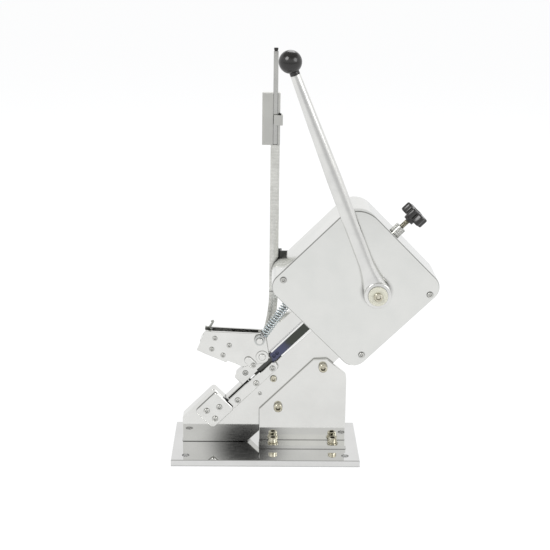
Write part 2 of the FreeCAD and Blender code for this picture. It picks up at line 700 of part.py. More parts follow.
# Die: a hard block in the groove's lower end, with the curl that bends the clip's legs.
die = start_body("die", ram_view)
DIE_SCREWS = [(-31.5, 10), (-13.7, 0.8), (-31.5, -8)]
LOW_SCREWS = [(14, -10.8), (53.3, -10.8), (87.4, -10.8)]
HIGH_SCREW = (53.6, 12.5)
die_half = channel_half - S.die_gap
die_outline = box_corners(S.die_gap - S.die_long, -die_half, 0, die_half)
pad_outline(die, die_outline, groove_floor, S.punch_thick)
curls = [(0, S.curl_place), (0, -S.curl_place)]
cut_circles(die, holes(curls, S.curl_wide), groove_floor + S.curl_floor, S.punch_thick)
cut_circles(die, holes(DIE_SCREWS[1:2], S.small_screw), groove_floor, S.punch_thick)

# Die plate over the die, and the two strips that close the channel.
plate = start_body("die_plate", ram_view)
plate_corners = box_corners(-S.die_plate_long, -S.die_plate_low, 0, S.die_plate_high)
pad_outline(plate, plate_corners, S.frame_front, S.strip_thick)
round_corners(plate, plate_corners, S.die_plate_corner)
break_edges(plate, strip_face, S.frame_edge)

low_strip = start_body("lower_guide_strip", ram_view)
slit_half = S.wide_slit / 2
low_bottom = -(S.low_strip_top + S.low_strip_wide)
low_outline = [
    (S.low_strip_start, low_bottom),
    (S.strip_end, low_bottom),
    (S.strip_end, -slit_half),
    (S.slit_step, -slit_half),
    (S.slit_step, -S.low_strip_top),
    (S.low_strip_start, -S.low_strip_top),
]
pad_outline(low_strip, low_outline, S.frame_front, S.strip_thick)
round_corners(low_strip, [low_outline[1], low_outline[2]], S.low_strip_corner)
break_edges(low_strip, strip_face, S.fine_edge)

high_strip = start_body("upper_guide_strip", ram_view)
high_top = S.mouth_floor + S.high_strip_wide
high_outline = [
    (S.mouth_width, S.mouth_floor),
    (S.slit_step, S.mouth_floor),
    (S.slit_step, slit_half),
    (S.strip_end, slit_half),
    (S.strip_end, high_top),
    (S.mouth_width, high_top),
]
pad_outline(high_strip, high_outline, S.frame_front, S.strip_thick)
round_corners(high_strip, [high_outline[4]], S.high_strip_corner)
round_corners(high_strip, [high_outline[5]], S.high_strip_toe)
break_edges(high_strip, strip_face, S.fine_edge)
cut_circles(high_strip, [(S.pivot_along, S.pivot_high, S.pivot_wide)], S.frame_front, S.strip_thick)
for body, places in ((plate, DIE_SCREWS), (low_strip, LOW_SCREWS), (high_strip, [HIGH_SCREW])):
    cut_circles(body, holes(places, S.small_screw), S.frame_front, S.strip_thick)
strip_sink_level = strip_face - S.strip_sink
sink_across = S.small_screw * S.head_ratio + S.fine_edge
cut_circles(high_strip, [(*HIGH_SCREW, sink_across)], strip_sink_level, S.strip_sink)
pivot_place = along(S.pivot_along, S.pivot_high)
cut_circles(frame, [(*pivot_place, S.pivot_wide)], frame_back, S.frame_thick)
head_places = [along(x, y) for x, y in DIE_SCREWS + LOW_SCREWS + [HIGH_SCREW]]
cut_circles(frame, holes(head_places, S.small_screw), S.frame_front - S.screw_deep, S.screw_deep)

# Two fasteners in the frame's face, a yellow bolt and a small plain screw that sits with the
# screws of the strips and the die plate.
FACE_BOLT, FACE_SCREW = (75.7, -25.1), (44.3, -28.1)
face_holes = [(*along(*FACE_BOLT), S.middle_bolt), (*along(*FACE_SCREW), S.fine_screw)]
cut_circles(frame, face_holes, S.frame_front - S.bolt_deep, S.bolt_deep)
group("frame_face_bolts", ram_view, [
    placed(screw(S.middle_bolt, S.frame_front, S.bolt_deep), *FACE_BOLT)])
strip_screw = screw(S.small_screw, strip_face, S.strip_thick + S.screw_deep)
sunk_screw = screw(S.small_screw, strip_sink_level, strip_sink_level - S.frame_front + S.screw_deep)
face_screw = screw(S.fine_screw, S.frame_front, S.bolt_deep)
group("plate_screws", ram_view, at_all(strip_screw, DIE_SCREWS + LOW_SCREWS)
      + [placed(sunk_screw, *HIGH_SCREW), placed(face_screw, *FACE_SCREW)])

# Screws that hold the frame plate from under the base.
from_below = start_sketch(frame, -BASE_TOP, "XZ_Plane")
draw_circles(from_below, [(x, -y, S.big_bolt) for x, y in frame_screws])
holes_below = frame.newObject("PartDesign::Pocket", "frame_plate_foot_holes")
holes_below.Profile = from_below
tie(holes_below, "Length", S.base_screw_long + S.sink_deep - S.base_thick)
doc.recompute()
under_view = moved(floor_view, turn=FreeCAD.Rotation(V(1, 0, 0), 180))
base_screw = screw(S.big_bolt, -S.sink_deep, S.base_screw_long)
group("frame_base_screws", under_view, at_all(base_screw, [(x, -y) for x, y in frame_screws]))

# Bracket in front of the frame: an upright plate with its foot on the base.
foot_top = BASE_TOP + S.bracket_thick
bracket = start_body("mounting_bracket", front_view)
peak = along(S.bracket_peak, -S.bracket_edge)
waist_z = DIE_Z - DIE_X - S.bracket_left - S.bracket_edge / cosine(S.ram_angle)
bracket_outline = [
    (-S.bracket_left, BASE_TOP),
    (S.bracket_right, BASE_TOP),
    (S.bracket_right, BASE_TOP + S.bracket_side),
    (S.bracket_right - S.bracket_bevel_in, BASE_TOP + S.bracket_bevel),
    (S.bracket_shoulder, peak[1] + S.bracket_top_rise),
    peak,
    (-S.bracket_left, waist_z),
]
pad_outline(bracket, bracket_outline, S.frame_front, S.bracket_thick)
round_corners(bracket, [bracket_outline[4]], S.bracket_top_corner)
round_corners(bracket, [bracket_outline[2], bracket_outline[3]], S.bracket_side_corner)
break_edges(bracket, S.frame_front + S.bracket_thick, S.frame_edge)
bracket_front = S.frame_front + S.bracket_thick
foot_outline = box_corners(-S.bracket_left, BASE_TOP, S.bracket_right, foot_top)
pad_outline(bracket, foot_outline, bracket_front - PAST, S.bracket_foot - S.bracket_thick + PAST)
BRACKET_BOLTS = [(18.8, 70.9), (85.3, 135.4)]
cut_circles(bracket, holes(BRACKET_BOLTS, S.big_bolt), S.frame_front, S.bracket_thick)
cut_circles(frame, holes(BRACKET_BOLTS, S.big_bolt), S.frame_front - S.bolt_deep, S.bolt_deep)
foot_holes = start_sketch(bracket, -foot_top, "XZ_Plane")
draw_circles(foot_holes, [(x, S.foot_bolt_out, S.big_bolt) for x, _ in foot_bolts])
foot_pocket = bracket.newObject("PartDesign::Pocket", "bracket_foot_holes")
foot_pocket.Profile = foot_holes
foot_pocket.Reversed = True
tie(foot_pocket, "Length", S.bracket_thick)
doc.recompute()
washer_top = foot_top + S.washer_thick
washer = cylinder(S.washer_wide, foot_top, washer_top).cut(cylinder(S.big_bolt, foot_top, washer_top))
foot_bolt = screw(S.big_bolt, washer_top, S.foot_bolt_long, S.cap_head)
group("bracket_foot_washers", floor_view, at_all(washer, foot_bolts))
group("bracket_foot_bolts", floor_view, at_all(foot_bolt, foot_bolts))
plate_bolt = screw(S.big_bolt, bracket_front, S.bracket_thick + S.bolt_deep, S.cap_head)
group("bracket_frame_bolts", front_view, at_all(plate_bolt, BRACKET_BOLTS))

# Gear housing: a square box on its corner, open in front, with posts for the cover screws.
housing_corners = box_corners(S.box_start, box_low, box_end, box_high)
COVER_SCREWS = [(202.5, -80.5), (337, -82.5), (338, 81.5), (201, 83)]
housing = start_body("gear_housing", ram_view)
pad_outline(housing, housing_corners, -S.box_back, S.box_back + shell_front)
hollow_low = S.box_start + S.box_wall
hollow_end = box_end - S.box_wall
hollow_corners = box_corners(hollow_low, box_low + S.box_wall, hollow_end, box_high - S.box_wall)
hollow_floor = S.box_floor - S.box_back
cut_outline(housing, hollow_corners, hollow_floor, S.box_back - S.box_floor + shell_front)
round_corners(housing, [hollow_corners[0], hollow_corners[1], hollow_corners[3]], S.box_corner - S.box_wall)
round_corners(housing, [hollow_corners[2]], S.box_top_corner - S.box_wall)
round_corners(housing, [housing_corners[0], housing_corners[1], housing_corners[3]], S.box_corner)
round_corners(housing, [housing_corners[2]], S.box_top_corner)
posts = start_sketch(housing, hollow_floor - BURIED)
draw_circles(posts, holes(COVER_SCREWS, S.post_wide))
add_pad(housing, posts, shell_front - hollow_floor + BURIED)
slot_gap = S.frame_slot_gap
slot_low, slot_high = -(S.under_edge + slot_gap), S.band_height + slot_gap
frame_slot = box_corners(S.box_start - PAST, slot_low, hollow_low + PAST, slot_high)
cut_outline(housing, frame_slot, frame_back - slot_gap, S.frame_thick + slot_gap * 2)
rod_level = arm_front_level + S.arm_play + S.eye_thick / 2


def cut_along_ram(body, height, level, diameter, start, depth):
    """A round hole along the ram, cut through a wall that stands across it."""
    sketch = start_sketch(body, start, "YZ_Plane")
    draw_circles(sketch, [(height, level, diameter)])
    return add_pocket(body, sketch, depth)


wall_cut = S.box_wall + PAST * 2
cut_along_ram(housing, S.rod_hole_high, rod_level, S.rod_hole, S.box_start - PAST, wall_cut)
cut_along_ram(housing, rack_middle, gear_middle, S.adjust_wide, hollow_end - PAST, wall_cut)
HOUSING_BOLTS = [(195, 21), (222, 21), (195, -40), (222, -40)]
shaft_spot = (shaft_along, -S.shaft_drop)
bush_outer = S.shaft_wide + S.bush_wall * 2
back_holes = [(*shaft_spot, bush_outer)] + holes(HOUSING_BOLTS, S.middle_bolt)
BRACKET_SCREWS = [(29, 273), (36, 290)]


def from_world(x, z):
    """Along and across the ram of a point given by its right and up."""
    c, s = cosine(S.ram_angle), sine(S.ram_angle)
    right, up = sized(x) - DIE_X, sized(z) - DIE_Z
    return right * c + up * s, up * c - right * s


rail_screw_spots = [from_world(x, z) for x, z in BRACKET_SCREWS]
back_holes += holes(rail_screw_spots, S.jaw_screw)
cut_circles(housing, back_holes, -S.box_back, S.box_floor)
cover_screw_deep = S.cover_screw_long - S.cover_thick
cut_circles(housing, holes(COVER_SCREWS, S.small_screw), shell_front - cover_screw_deep, cover_screw_deep)
break_edges(housing, -S.box_back, S.frame_edge)

cover = start_body("front_cover", ram_view)
inset = S.cover_inset
cover_corners = box_corners(S.box_start + inset, box_low + inset, box_end - inset, box_high - inset)
pad_outline(cover, cover_corners, shell_front, S.cover_thick)
round_corners(cover, [cover_corners[0], cover_corners[1], cover_corners[3]], S.box_corner - inset)
round_corners(cover, [cover_corners[2]], S.cover_top_corner)
cover_holes = [(*shaft_spot, bush_outer)] + holes(COVER_SCREWS, S.small_screw)
cut_circles(cover, cover_holes, shell_front, S.cover_thick)
break_edges(cover, S.box_front, S.cover_edge)
cover_screw = screw(S.small_screw, S.box_front, S.cover_screw_long)
group("cover_screws", ram_view, at_all(cover_screw, COVER_SCREWS))

# Spacers and bolts that carry the housing on the frame plate, from behind.
spacer_back = S.box_floor - S.box_back
SPACERS = [(186, 12, 231, 30), (186, -68, 231, -12)]
spacer_blocks = []
for start, low, end, high in SPACERS:
    block = Part.makeBox(
        end - start, high - low, (frame_back - spacer_back).worth, V(start, low, spacer_back.worth))
    for x, y in HOUSING_BOLTS:
        if low < y < high:
            block = block.cut(cylinder(S.middle_bolt, spacer_back, frame_back, x, y))
    spacer_blocks.append(block)
group("housing_spacers", ram_view, spacer_blocks)
cut_circles(frame, [(*along(x, y), S.middle_bolt) for x, y in HOUSING_BOLTS], frame_back, S.bolt_deep)
behind = FreeCAD.Rotation(V(0, 1, 0), 180)
bolt_reach = frame_back + S.box_back + S.bolt_deep
housing_bolt = screw(S.middle_bolt, S.box_back, bolt_reach)
group("housing_bolts", ram_view, [placed(housing_bolt, x, y, 0, behind) for x, y in HOUSING_BOLTS])

# Drive shaft in its two bushes, the pinion keyed on it, and the rack that it drives.
shaft_view = moved(ram_view, shaft_along, -S.shaft_drop, 0)
shaft_back = S.shaft_end_gap - S.box_back
shaft_front = S.hub_back + S.hub_thick
bush_bore = S.shaft_wide / 2 + S.run_gap
bush_side = bush_outer / 2
flange_side = bush_side + S.bush_flange
back_wall = S.box_floor - S.box_back
turned("back_bush", shaft_view, [
    (bush_bore, -S.box_back), (bush_side, -S.box_back), (bush_side, back_wall),
    (flange_side, back_wall), (flange_side, back_wall + S.bush_back_long),
    (bush_bore, back_wall + S.bush_back_long),
])
bush_front = S.box_front + S.bush_out
front_flange = shell_front - S.bush_front_long
turned("front_bush", shaft_view, [
    (bush_bore, front_flange), (flange_side, front_flange), (flange_side, shell_front),
    (bush_side, shell_front), (bush_side, bush_front), (bush_bore, bush_front),
])
shaft = turned("drive_shaft", shaft_view, [
    (0, shaft_back), (S.shaft_wide / 2, shaft_back), (S.shaft_wide / 2, shaft_front), (0, shaft_front),
])
shaft_top = S.shaft_wide / 2
key_half = S.key_wide / 2
key_low, key_high = shaft_top - S.key_deep, shaft_top + S.key_deep
key_outline = box_corners(-key_half, key_low, key_half, key_high)
cut_outline(shaft, key_outline, gear_back, S.gear_face)
cut_circles(shaft, [(0, 0, S.big_bolt)], shaft_front - S.lever_bolt_deep, S.lever_bolt_deep)
key = start_body("pinion_key", shaft_view)
pad_outline(key, key_outline, gear_back, S.gear_face)


# The pinion's flanks start this far outside their base circle, and the rack keeps at least this
# much plain bar between its outermost teeth and its ends.
FLANK_START = 0.05
RACK_LAND = 0.1


def tooth_flank(radius, base_radius, half_angle):
    """A point of an involute flank, at that radius, whose angle at the pitch circle is given."""
    def spread(r):
        t = math.sqrt(max((r / base_radius) ** 2 - 1, 0))
        return t - math.atan(t)
    return half_angle + spread(float(pitch_radius)) - spread(radius)


def pinion_shape():
    """Straight-cut pinion with a gap, not a tooth, facing the rack."""
    teeth, module = int(S.gear_teeth.worth), S.gear_module.worth
    pitch = pitch_radius.worth
    base_radius = pitch * math.cos(math.radians(S.pressure_angle.worth))
    tip, root = pitch + module, pitch - S.root_ratio.worth * module
    half = math.pi / (2 * teeth) - S.gear_play.worth / (4 * pitch)
    radii = [root, base_radius + FLANK_START, pitch, tip]
    points = []
    for tooth in range(teeth):
        middle = math.pi / 2 + (tooth + 0.5) * 2 * math.pi / teeth
        for r in radii:
            angle = middle - tooth_flank(max(r, base_radius), base_radius, half)
            points.append(V(r * math.cos(angle), r * math.sin(angle), gear_back.worth))
        for r in reversed(radii):
            angle = middle + tooth_flank(max(r, base_radius), base_radius, half)
            points.append(V(r * math.cos(angle), r * math.sin(angle), gear_back.worth))
    blank = Part.Face(Part.makePolygon(points + points[:1])).extrude(V(0, 0, S.gear_face.worth))
    bore = cylinder(S.shaft_wide, gear_back, gear_front)
    keyway = Part.makeBox(S.key_wide.worth, key_high.worth, S.gear_face.worth,
                          V(-key_half.worth, 0, gear_back.worth))
    return blank.cut(bore.fuse(keyway))


group("pinion", shaft_view, [pinion_shape()])


def rack_shape():
    """Rack bar whose teeth point down to the pinion, in the ram's directions."""
    module, pitch = S.gear_module.worth, math.pi * S.gear_module.worth
    low, high = S.rack_front.worth, S.rack_back.worth
    tip = pitch_height.worth - module
    root = rack_root.worth
    lean = math.tan(math.radians(S.pressure_angle.worth))
    half = pitch / 4 - S.gear_play.worth / 4
    half_tip, half_root = half - module * lean, half + (root - pitch_height.worth) * lean
    points = [V(low, rack_top.worth, 0), V(low, root, 0)]
    count = int((high - low) / pitch) + 2
    first = math.ceil((low - shaft_along.worth) / pitch)
    for step in range(first, first + count):
        middle = shaft_along.worth + step * pitch
        if middle - half_root <= low + RACK_LAND or middle + half_root >= high - RACK_LAND:
            continue
        points += [V(middle - half_root, root, 0), V(middle - half_tip, tip, 0),
                   V(middle + half_tip, tip, 0), V(middle + half_root, root, 0)]
    points += [V(high, root, 0), V(high, rack_top.worth, 0)]
    bar = Part.Face(Part.makePolygon(points + points[:1])).extrude(V(0, 0, S.gear_face.worth))
    bar.translate(V(0, 0, gear_back.worth))
    return bar


RACK_SCREWS = [(303, rack_middle.worth), (333, rack_middle.worth)]
rack_solid = rack_shape()
for x, y in RACK_SCREWS:
    rack_solid = rack_solid.cut(cylinder(S.small_screw, gear_back, gear_front, x, y))
group("rack", ram_view, [rack_solid])
rack_screw = screw(S.small_screw, gear_front, S.gear_face + S.screw_deep)
group("rack_screws", ram_view, at_all(rack_screw, RACK_SCREWS))

# Ram bar with the punch lapped on its lower end, and the block that joins it to the rack.
ram = start_body("ram_bar", ram_view)
pad_outline(ram, box_corners(lap_start, -ram_top, S.rack_back, ram_top), ram_back, S.ram_thick)
lap_end = S.punch_tip + S.punch_long
lap_level = ram_front - S.punch_thick
lap_corners = box_corners(lap_start - PAST, -ram_top - PAST, lap_end, ram_top + PAST)
cut_outline(ram, lap_corners, lap_level, S.punch_thick + PAST)
PUNCH_SCREWS = [(101.5, 0), (108, 0)]
punch_screw_deep = S.screw_deep - S.punch_sink
cut_circles(ram, holes(PUNCH_SCREWS, S.fine_screw), lap_level - punch_screw_deep, punch_screw_deep)
punch = start_body("punch", ram_view)
pad_outline(punch, box_corners(S.punch_tip, -ram_top, lap_end, ram_top), lap_level, S.punch_thick)
cut_circles(punch, holes(PUNCH_SCREWS, S.fine_screw), lap_level, S.punch_thick)
punch_sink_wide = S.fine_screw * S.head_ratio + S.fine_edge
cut_circles(punch, holes(PUNCH_SCREWS, punch_sink_wide), lap_level + S.punch_sink, S.punch_thick)
cut_circles(punch, [(S.punch_tip - S.punch_bite_out, 0, S.punch_bite)], lap_level, S.punch_thick)
punch_screw = screw(S.fine_screw, lap_level + S.punch_sink, S.screw_deep)
group("punch_screws", ram_view, at_all(punch_screw, PUNCH_SCREWS))
carriage = start_body("ram_carriage", ram_view)
carriage_corners = box_corners(S.carriage_front, ram_top, S.rack_back, rack_top)
pad_outline(carriage, carriage_corners, ram_back, gear_back - ram_back)
cut_circles(carriage, holes(RACK_SCREWS, S.small_screw), gear_back - S.screw_deep, S.screw_deep)

# Guide bar that keeps the rack in mesh, screwed to the frame plate.
GUIDE_SCREWS = [(197, 27.1), (225, 27.1)]
guide = start_body("rack_guide", ram_view)
guide_outline = box_corners(S.guide_front, rack_top + S.guide_gap, S.guide_back, S.band_height)
guide_thick = gear_front - S.frame_front
pad_outline(guide, guide_outline, S.frame_front, guide_thick)
cut_circles(guide, holes(GUIDE_SCREWS, S.small_screw), S.frame_front, guide_thick)
guide_places = [along(x, y) for x, y in GUIDE_SCREWS]
cut_circles(frame, holes(guide_places, S.small_screw), S.frame_front - S.screw_deep, S.screw_deep)
guide_screw = screw(S.small_screw, gear_front, guide_thick + S.screw_deep)
group("guide_screws", ram_view, at_all(guide_screw, GUIDE_SCREWS))

# Lever: forged eye on the shaft and a tapering rod to the ball, drawn at rest.
lever_turn = FreeCAD.Rotation(V(0, 0, 1), 90 + (S.lever_lean - S.ram_angle).worth)
lever_view = moved(shaft_view, turn=lever_turn)
lever_mid = S.hub_back + S.hub_thick / 2 - S.lever_set_back
lever_rise = math.degrees(math.atan2(S.lever_out.worth, S.lever_reach.worth))
rod_turn = FreeCAD.Rotation(V(0, 1, 0), 90 - lever_rise)
ball_place = moved(lever_view, 0, 0, lever_mid, rod_turn)
ball_centre = math.hypot(S.lever_reach.worth, S.lever_out.worth)
ball_start = ball_centre - S.ball_wide.worth / 2 - S.collar_long.worth / 2
ball_bore_end = ball_start + S.ball_bore.worth


# The flare's round end is drawn as an ellipse just out of round, which needs two unlike radii.
OVAL_RATIO = 0.999


def flare_shape(hub, rod, thick, end):
    """The lever's flare, along local z, tangent to the eye and drawn in to the round rod."""
    reach = math.atan2(rod, end) + math.acos(hub / math.hypot(rod, end))
    start, side = hub * math.cos(reach), hub * math.sin(reach)
    wide_end = Part.Ellipse(V(0, side, start), V(thick, 0, start), V(0, 0, start)).toShape()
    round_end = Part.Ellipse(V(0, rod, end), V(rod * OVAL_RATIO, 0, end), V(0, 0, end)).toShape()
    return Part.makeLoft([Part.Wire([wide_end]), Part.Wire([round_end])], True, True)


def lever_shape():
    """The eye, the flare and the rod, along local x from the shaft's axis."""
    eye = cylinder(S.hub_wide, S.hub_back, shaft_front)
    rims = [edge for edge in eye.Edges if edge.Closed and edge.BoundBox.ZLength < NEAR]
    eye = eye.makeChamfer(S.hub_edge.worth, rims)
    thin, knee, fat = (size.worth / 2 for size in (S.lever_thin, S.lever_knee, S.lever_fat))
    middle = ball_centre * S.lever_knee_share.worth
    neck = ball_start - PAST
    rod = Part.makeCone(fat, knee, middle)
    rod = rod.fuse(Part.makeCone(knee, thin, neck - middle, V(0, 0, middle)))
    rod = rod.fuse(cylinder(S.lever_thin, neck, ball_bore_end))
    flare_end = S.flare_end.worth
    rod_there = fat + (knee - fat) * flare_end / middle
    rod = rod.fuse(flare_shape(S.hub_wide.worth / 2, rod_there, S.flare_thick.worth / 2, flare_end))
    rod.Placement = FreeCAD.Placement(V(0, 0, lever_mid.worth), rod_turn)
    return eye.fuse(rod).cut(cylinder(S.shaft_wide, S.hub_back - PAST, shaft_front + PAST))


group("lever_arm", lever_view, [lever_shape()])


def ball_shape():
    """Ball with its short neck, bored for the lever's end."""
    ball = Part.makeSphere(S.ball_wide.worth / 2, V(0, 0, ball_centre))
    neck = cylinder(S.collar_wide, ball_start, ball_centre)
    bore = cylinder(S.lever_thin, ball_start - PAST, ball_bore_end)
    return ball.fuse(neck).removeSplitter().cut(bore)


group("ball_knob", ball_place, [ball_shape()])
nylon_end = shaft_front + S.nylon_thick
nylon_side, nylon_bore = S.nylon_wide / 2, S.big_bolt / 2
nylon_flat = nylon_side - S.nylon_edge
turned("nylon_washer", shaft_view, [
    (nylon_bore, shaft_front), (nylon_flat, shaft_front), (nylon_side, shaft_front + S.nylon_edge),
    (nylon_side, nylon_end - S.nylon_edge), (nylon_flat, nylon_end), (nylon_bore, nylon_end),
])
group("lever_bolt", shaft_view, [screw(S.big_bolt, nylon_end, S.nylon_thick + S.lever_bolt_deep)])

# Gate arm: two plates astride the frame, joined by the jaw block, on a pin through the frame.
pivot_x, pivot_z = pivot_place
rod_x, rod_z = along(S.rod_along, S.rod_high)
arm_hole = S.pivot_wide + S.run_gap * 2
front_outline = [
    (-103.5, 162), (-59.9, 143.2), (-57.5, 146), (-34.4, 136.1),
    (5.6, 143.9), (-1.2, 188.2), (-79.1, 191.4), (-90.2, 192.9),
]
back_outline = [(-89.8, 152.7), (1.1, 146.6), (-1.2, 186.4), (-79.1, 190.4), (-86.5, 191.2)]
arm_front = start_body("arm_front_plate", front_view)
pad_outline(arm_front, front_outline, arm_back_level, S.arm_thick)
round_corners(arm_front, [front_outline[4]], S.pivot_boss)
round_corners(arm_front, [front_outline[5]], S.rod_end)
round_corners(arm_front, [front_outline[0], front_outline[7]], S.arm_corner)
arm_rear_level = arm_back_level - S.arm_gap - S.arm_thick
arm_rear = start_body("arm_back_plate", front_view)
pad_outline(arm_rear, back_outline, arm_rear_level, S.arm_thick)
round_corners(arm_rear, [back_outline[1]], S.pivot_back_boss)
round_corners(arm_rear, [back_outline[2]], S.rod_end)
for body, level in ((arm_front, arm_back_level), (arm_rear, arm_rear_level)):
    cut_circles(body, [(pivot_x, pivot_z, arm_hole), (rod_x, rod_z, S.pivot_wide)], level, S.arm_thick)
break_edges(arm_front, arm_front_level, S.fine_edge)
jaw_outline = [
    (-98.5, 160.2), (-51.5, 156.9), (-51.5, 183.2), (-79.1, 184.4), (-79.5, 190.3), (-88.6, 191.4),
]
jaw = start_body("jaw_block", front_view)
jaw_back = arm_back_level - S.arm_gap
pad_outline(jaw, jaw_outline, jaw_back, S.arm_gap)
finger_x, finger_z = -S.finger_left, S.finger_high
finger_low = -S.finger_thick / 2
slot_corners = box_corners(
    finger_x - S.finger_slot_left, finger_z - S.finger_slot_low,
    finger_x + S.finger_slot_right, finger_z + S.finger_slot_high)
cut_outline(jaw, slot_corners, finger_low - S.finger_gap, S.finger_thick + S.finger_gap * 2)
JAW_SCREWS = [(-76.2, 181.1), (-54.9, 170.2), (-81.0, 163.9)]
PLATE_SCREW = (-64.3, 154.6)
cut_circles(jaw, holes(JAW_SCREWS, S.jaw_screw), arm_back_level - S.jaw_deep, S.jaw_deep)
plate_holes = holes(JAW_SCREWS + [PLATE_SCREW], S.jaw_screw)
cut_circles(arm_front, plate_holes, arm_back_level, S.arm_thick)
cut_circles(jaw, [(finger_x, finger_z, S.fine_screw)], jaw_back, S.arm_gap)
jaw_screw = screw(S.jaw_screw, arm_front_level, S.arm_thick + S.jaw_deep)
stub_screw = screw(S.jaw_screw, arm_front_level, S.arm_thick)
pin_side, head_side = S.pivot_wide / 2, S.pin_head / 2
flange_low = arm_front_level + S.arm_play
flange_high = flange_low + S.pin_flange_thick
head_high = flange_high + S.pin_head_high
pin_tail = arm_rear_level - S.pin_tail
pivot_view = moved(ram_view, S.pivot_along, S.pivot_high)
turned("gate_pivot_pin", pivot_view, [
    (0, pin_tail), (pin_side, pin_tail), (pin_side, flange_low), (S.pin_flange / 2, flange_low),
    (S.pin_flange / 2, flange_high), (head_side, flange_high), (head_side, head_high - S.fine_edge),
    (head_side - S.fine_edge, head_high), (0, head_high),
])


def hex_nut(across, bore, low, high):
    """A plain hexagonal nut along local z."""
    return hexagon(across, low).extrude(V(0, 0, float(high - low))).cut(cylinder(bore, low, high))


nut_back = arm_rear_level - S.arm_play
nut_low = pin_tail + S.pin_thread_left
group("gate_pivot_nut", pivot_view, [hex_nut(S.nut_across, S.pivot_wide, nut_low, nut_back)])

# Sprung push rod, hinged on the gate arm by its bolt and running up into the housing.
rod_pivot = moved(ram_view, S.rod_along, S.rod_high)
eye_low = arm_front_level + S.arm_play
eye_high = eye_low + S.eye_thick
bolt_seat = eye_high + S.arm_play
bolt_top = bolt_seat + S.pin_head_high
turned("rod_bolt", rod_pivot, [
    (0, arm_rear_level), (pin_side, arm_rear_level), (pin_side, bolt_seat), (head_side, bolt_seat),
    (head_side, bolt_top - S.fine_edge), (head_side - S.fine_edge, bolt_top), (0, bolt_top),
])
rod_view = moved(rod_pivot, 0, 0, rod_level, FreeCAD.Rotation(V(0, 0, 1), S.rod_rise.worth))
rod_axis = moved(rod_view, turn=FreeCAD.Rotation(V(0, 1, 0), 90))


def rod_shape():
    """Eye and rod, along local z from the bolt's axis."""
    thick, bore_radius = S.eye_thick.worth, (S.pivot_wide / 2 + S.run_gap).worth
    eye = Part.makeCylinder(S.eye_wide.worth / 2, thick, V(thick / 2, 0, 0), V(-1, 0, 0))
    stem = cylinder(S.rod_wide, 0, S.rod_long)
    bore = Part.makeCylinder(bore_radius, 2 * thick, V(thick, 0, 0), V(-1, 0, 0))
    return eye.fuse(stem).cut(bore)


group("gate_rod", rod_axis, [rod_shape()])
coil_start, coil_end = S.coil_start, S.coil_start + S.coil_long
wire = S.wire_wide.worth
coil_radius = (S.coil_wide.worth - wire) / 2
WIRE_FLATS = 6


def spring_shape():
    """Wire wound round the rod, with flats instead of a round section."""
    climb = S.coil_long.worth - wire
    helix = Part.makeHelix(climb / S.coil_turns.worth, climb, coil_radius)
    turns = [math.radians(360 * corner / WIRE_FLATS) for corner in range(WIRE_FLATS + 1)]
    section = Part.makePolygon([
        V(coil_radius + wire / 2 * math.cos(turn), 0, wire / 2 * math.sin(turn)) for turn in turns])
    coil = Part.Wire(helix.Edges).makePipeShell([section], True, True)
    coil.translate(V(0, 0, coil_start.worth + wire / 2))
    return coil


group("gate_spring", rod_axis, [spring_shape()])


def ring(low, high):
    """A collar on the sprung rod."""
    return cylinder(S.ring_wide, low, high).cut(cylinder(S.rod_wide, low, high))


group("rod_collars", rod_axis, [
    ring(coil_start - S.ring_low, coil_start), ring(coil_end, coil_end + S.ring_high)])

# Small tab on the gate arm, with its pin.
TAB_SCREW = (72.8, 15.1)
tab_place = along(*TAB_SCREW)
tab_level = arm_front_level + S.tab_thick
tab = start_body("arm_tab", front_view)
tab_end, tab_high = S.tab_start + S.tab_wide, S.tab_low + S.tab_long
tab_corners = sloped_box(S.tab_start, S.tab_low, tab_end, tab_high)
pad_outline(tab, tab_corners, arm_front_level, S.tab_thick)
round_corners(tab, tab_corners, S.tab_corner)
cut_circles(tab, [(*tab_place, S.jaw_screw)], arm_front_level, S.tab_thick)
break_edges(tab, tab_level, S.cover_edge)
cut_circles(arm_front, [(*tab_place, S.jaw_screw)], arm_back_level, S.arm_thick)
tab_screw = screw(S.jaw_screw, tab_level, S.tab_thick + S.arm_thick)
group("jaw_screws", front_view, at_all(jaw_screw, JAW_SCREWS)
      + [placed(stub_screw, *PLATE_SCREW), placed(tab_screw, *tab_place)])

# Latch finger that stands up from the jaw block: a wide foot on its pin, a thin stem and a
# hooked tip.
finger_view = moved(front_view, finger_x, finger_z)
finger = start_body("latch_finger", finger_view)
finger_outline = [
    (-3.2, -3.2), (3.2, -3.2), (4.6, 4.2), (2.6, 5.4), (8.6, 16.2), (7.2, 18.6),
    (3.4, 17), (5.2, 15.4), (0.2, 8), (-4.6, 9.2), (-5.2, 5.6),
]
pad_outline(finger, finger_outline, finger_low, S.finger_thick)
round_corners(finger, finger_outline[:2], S.finger_foot)
finger_bore = S.fine_screw + S.run_gap * 2
cut_circles(finger, [(0, 0, finger_bore)], finger_low, S.finger_thick)
turned("finger_pin", finger_view, [
    (0, jaw_back), (S.fine_screw / 2, jaw_back), (S.fine_screw / 2, arm_back_level), (0, arm_back_level),
])

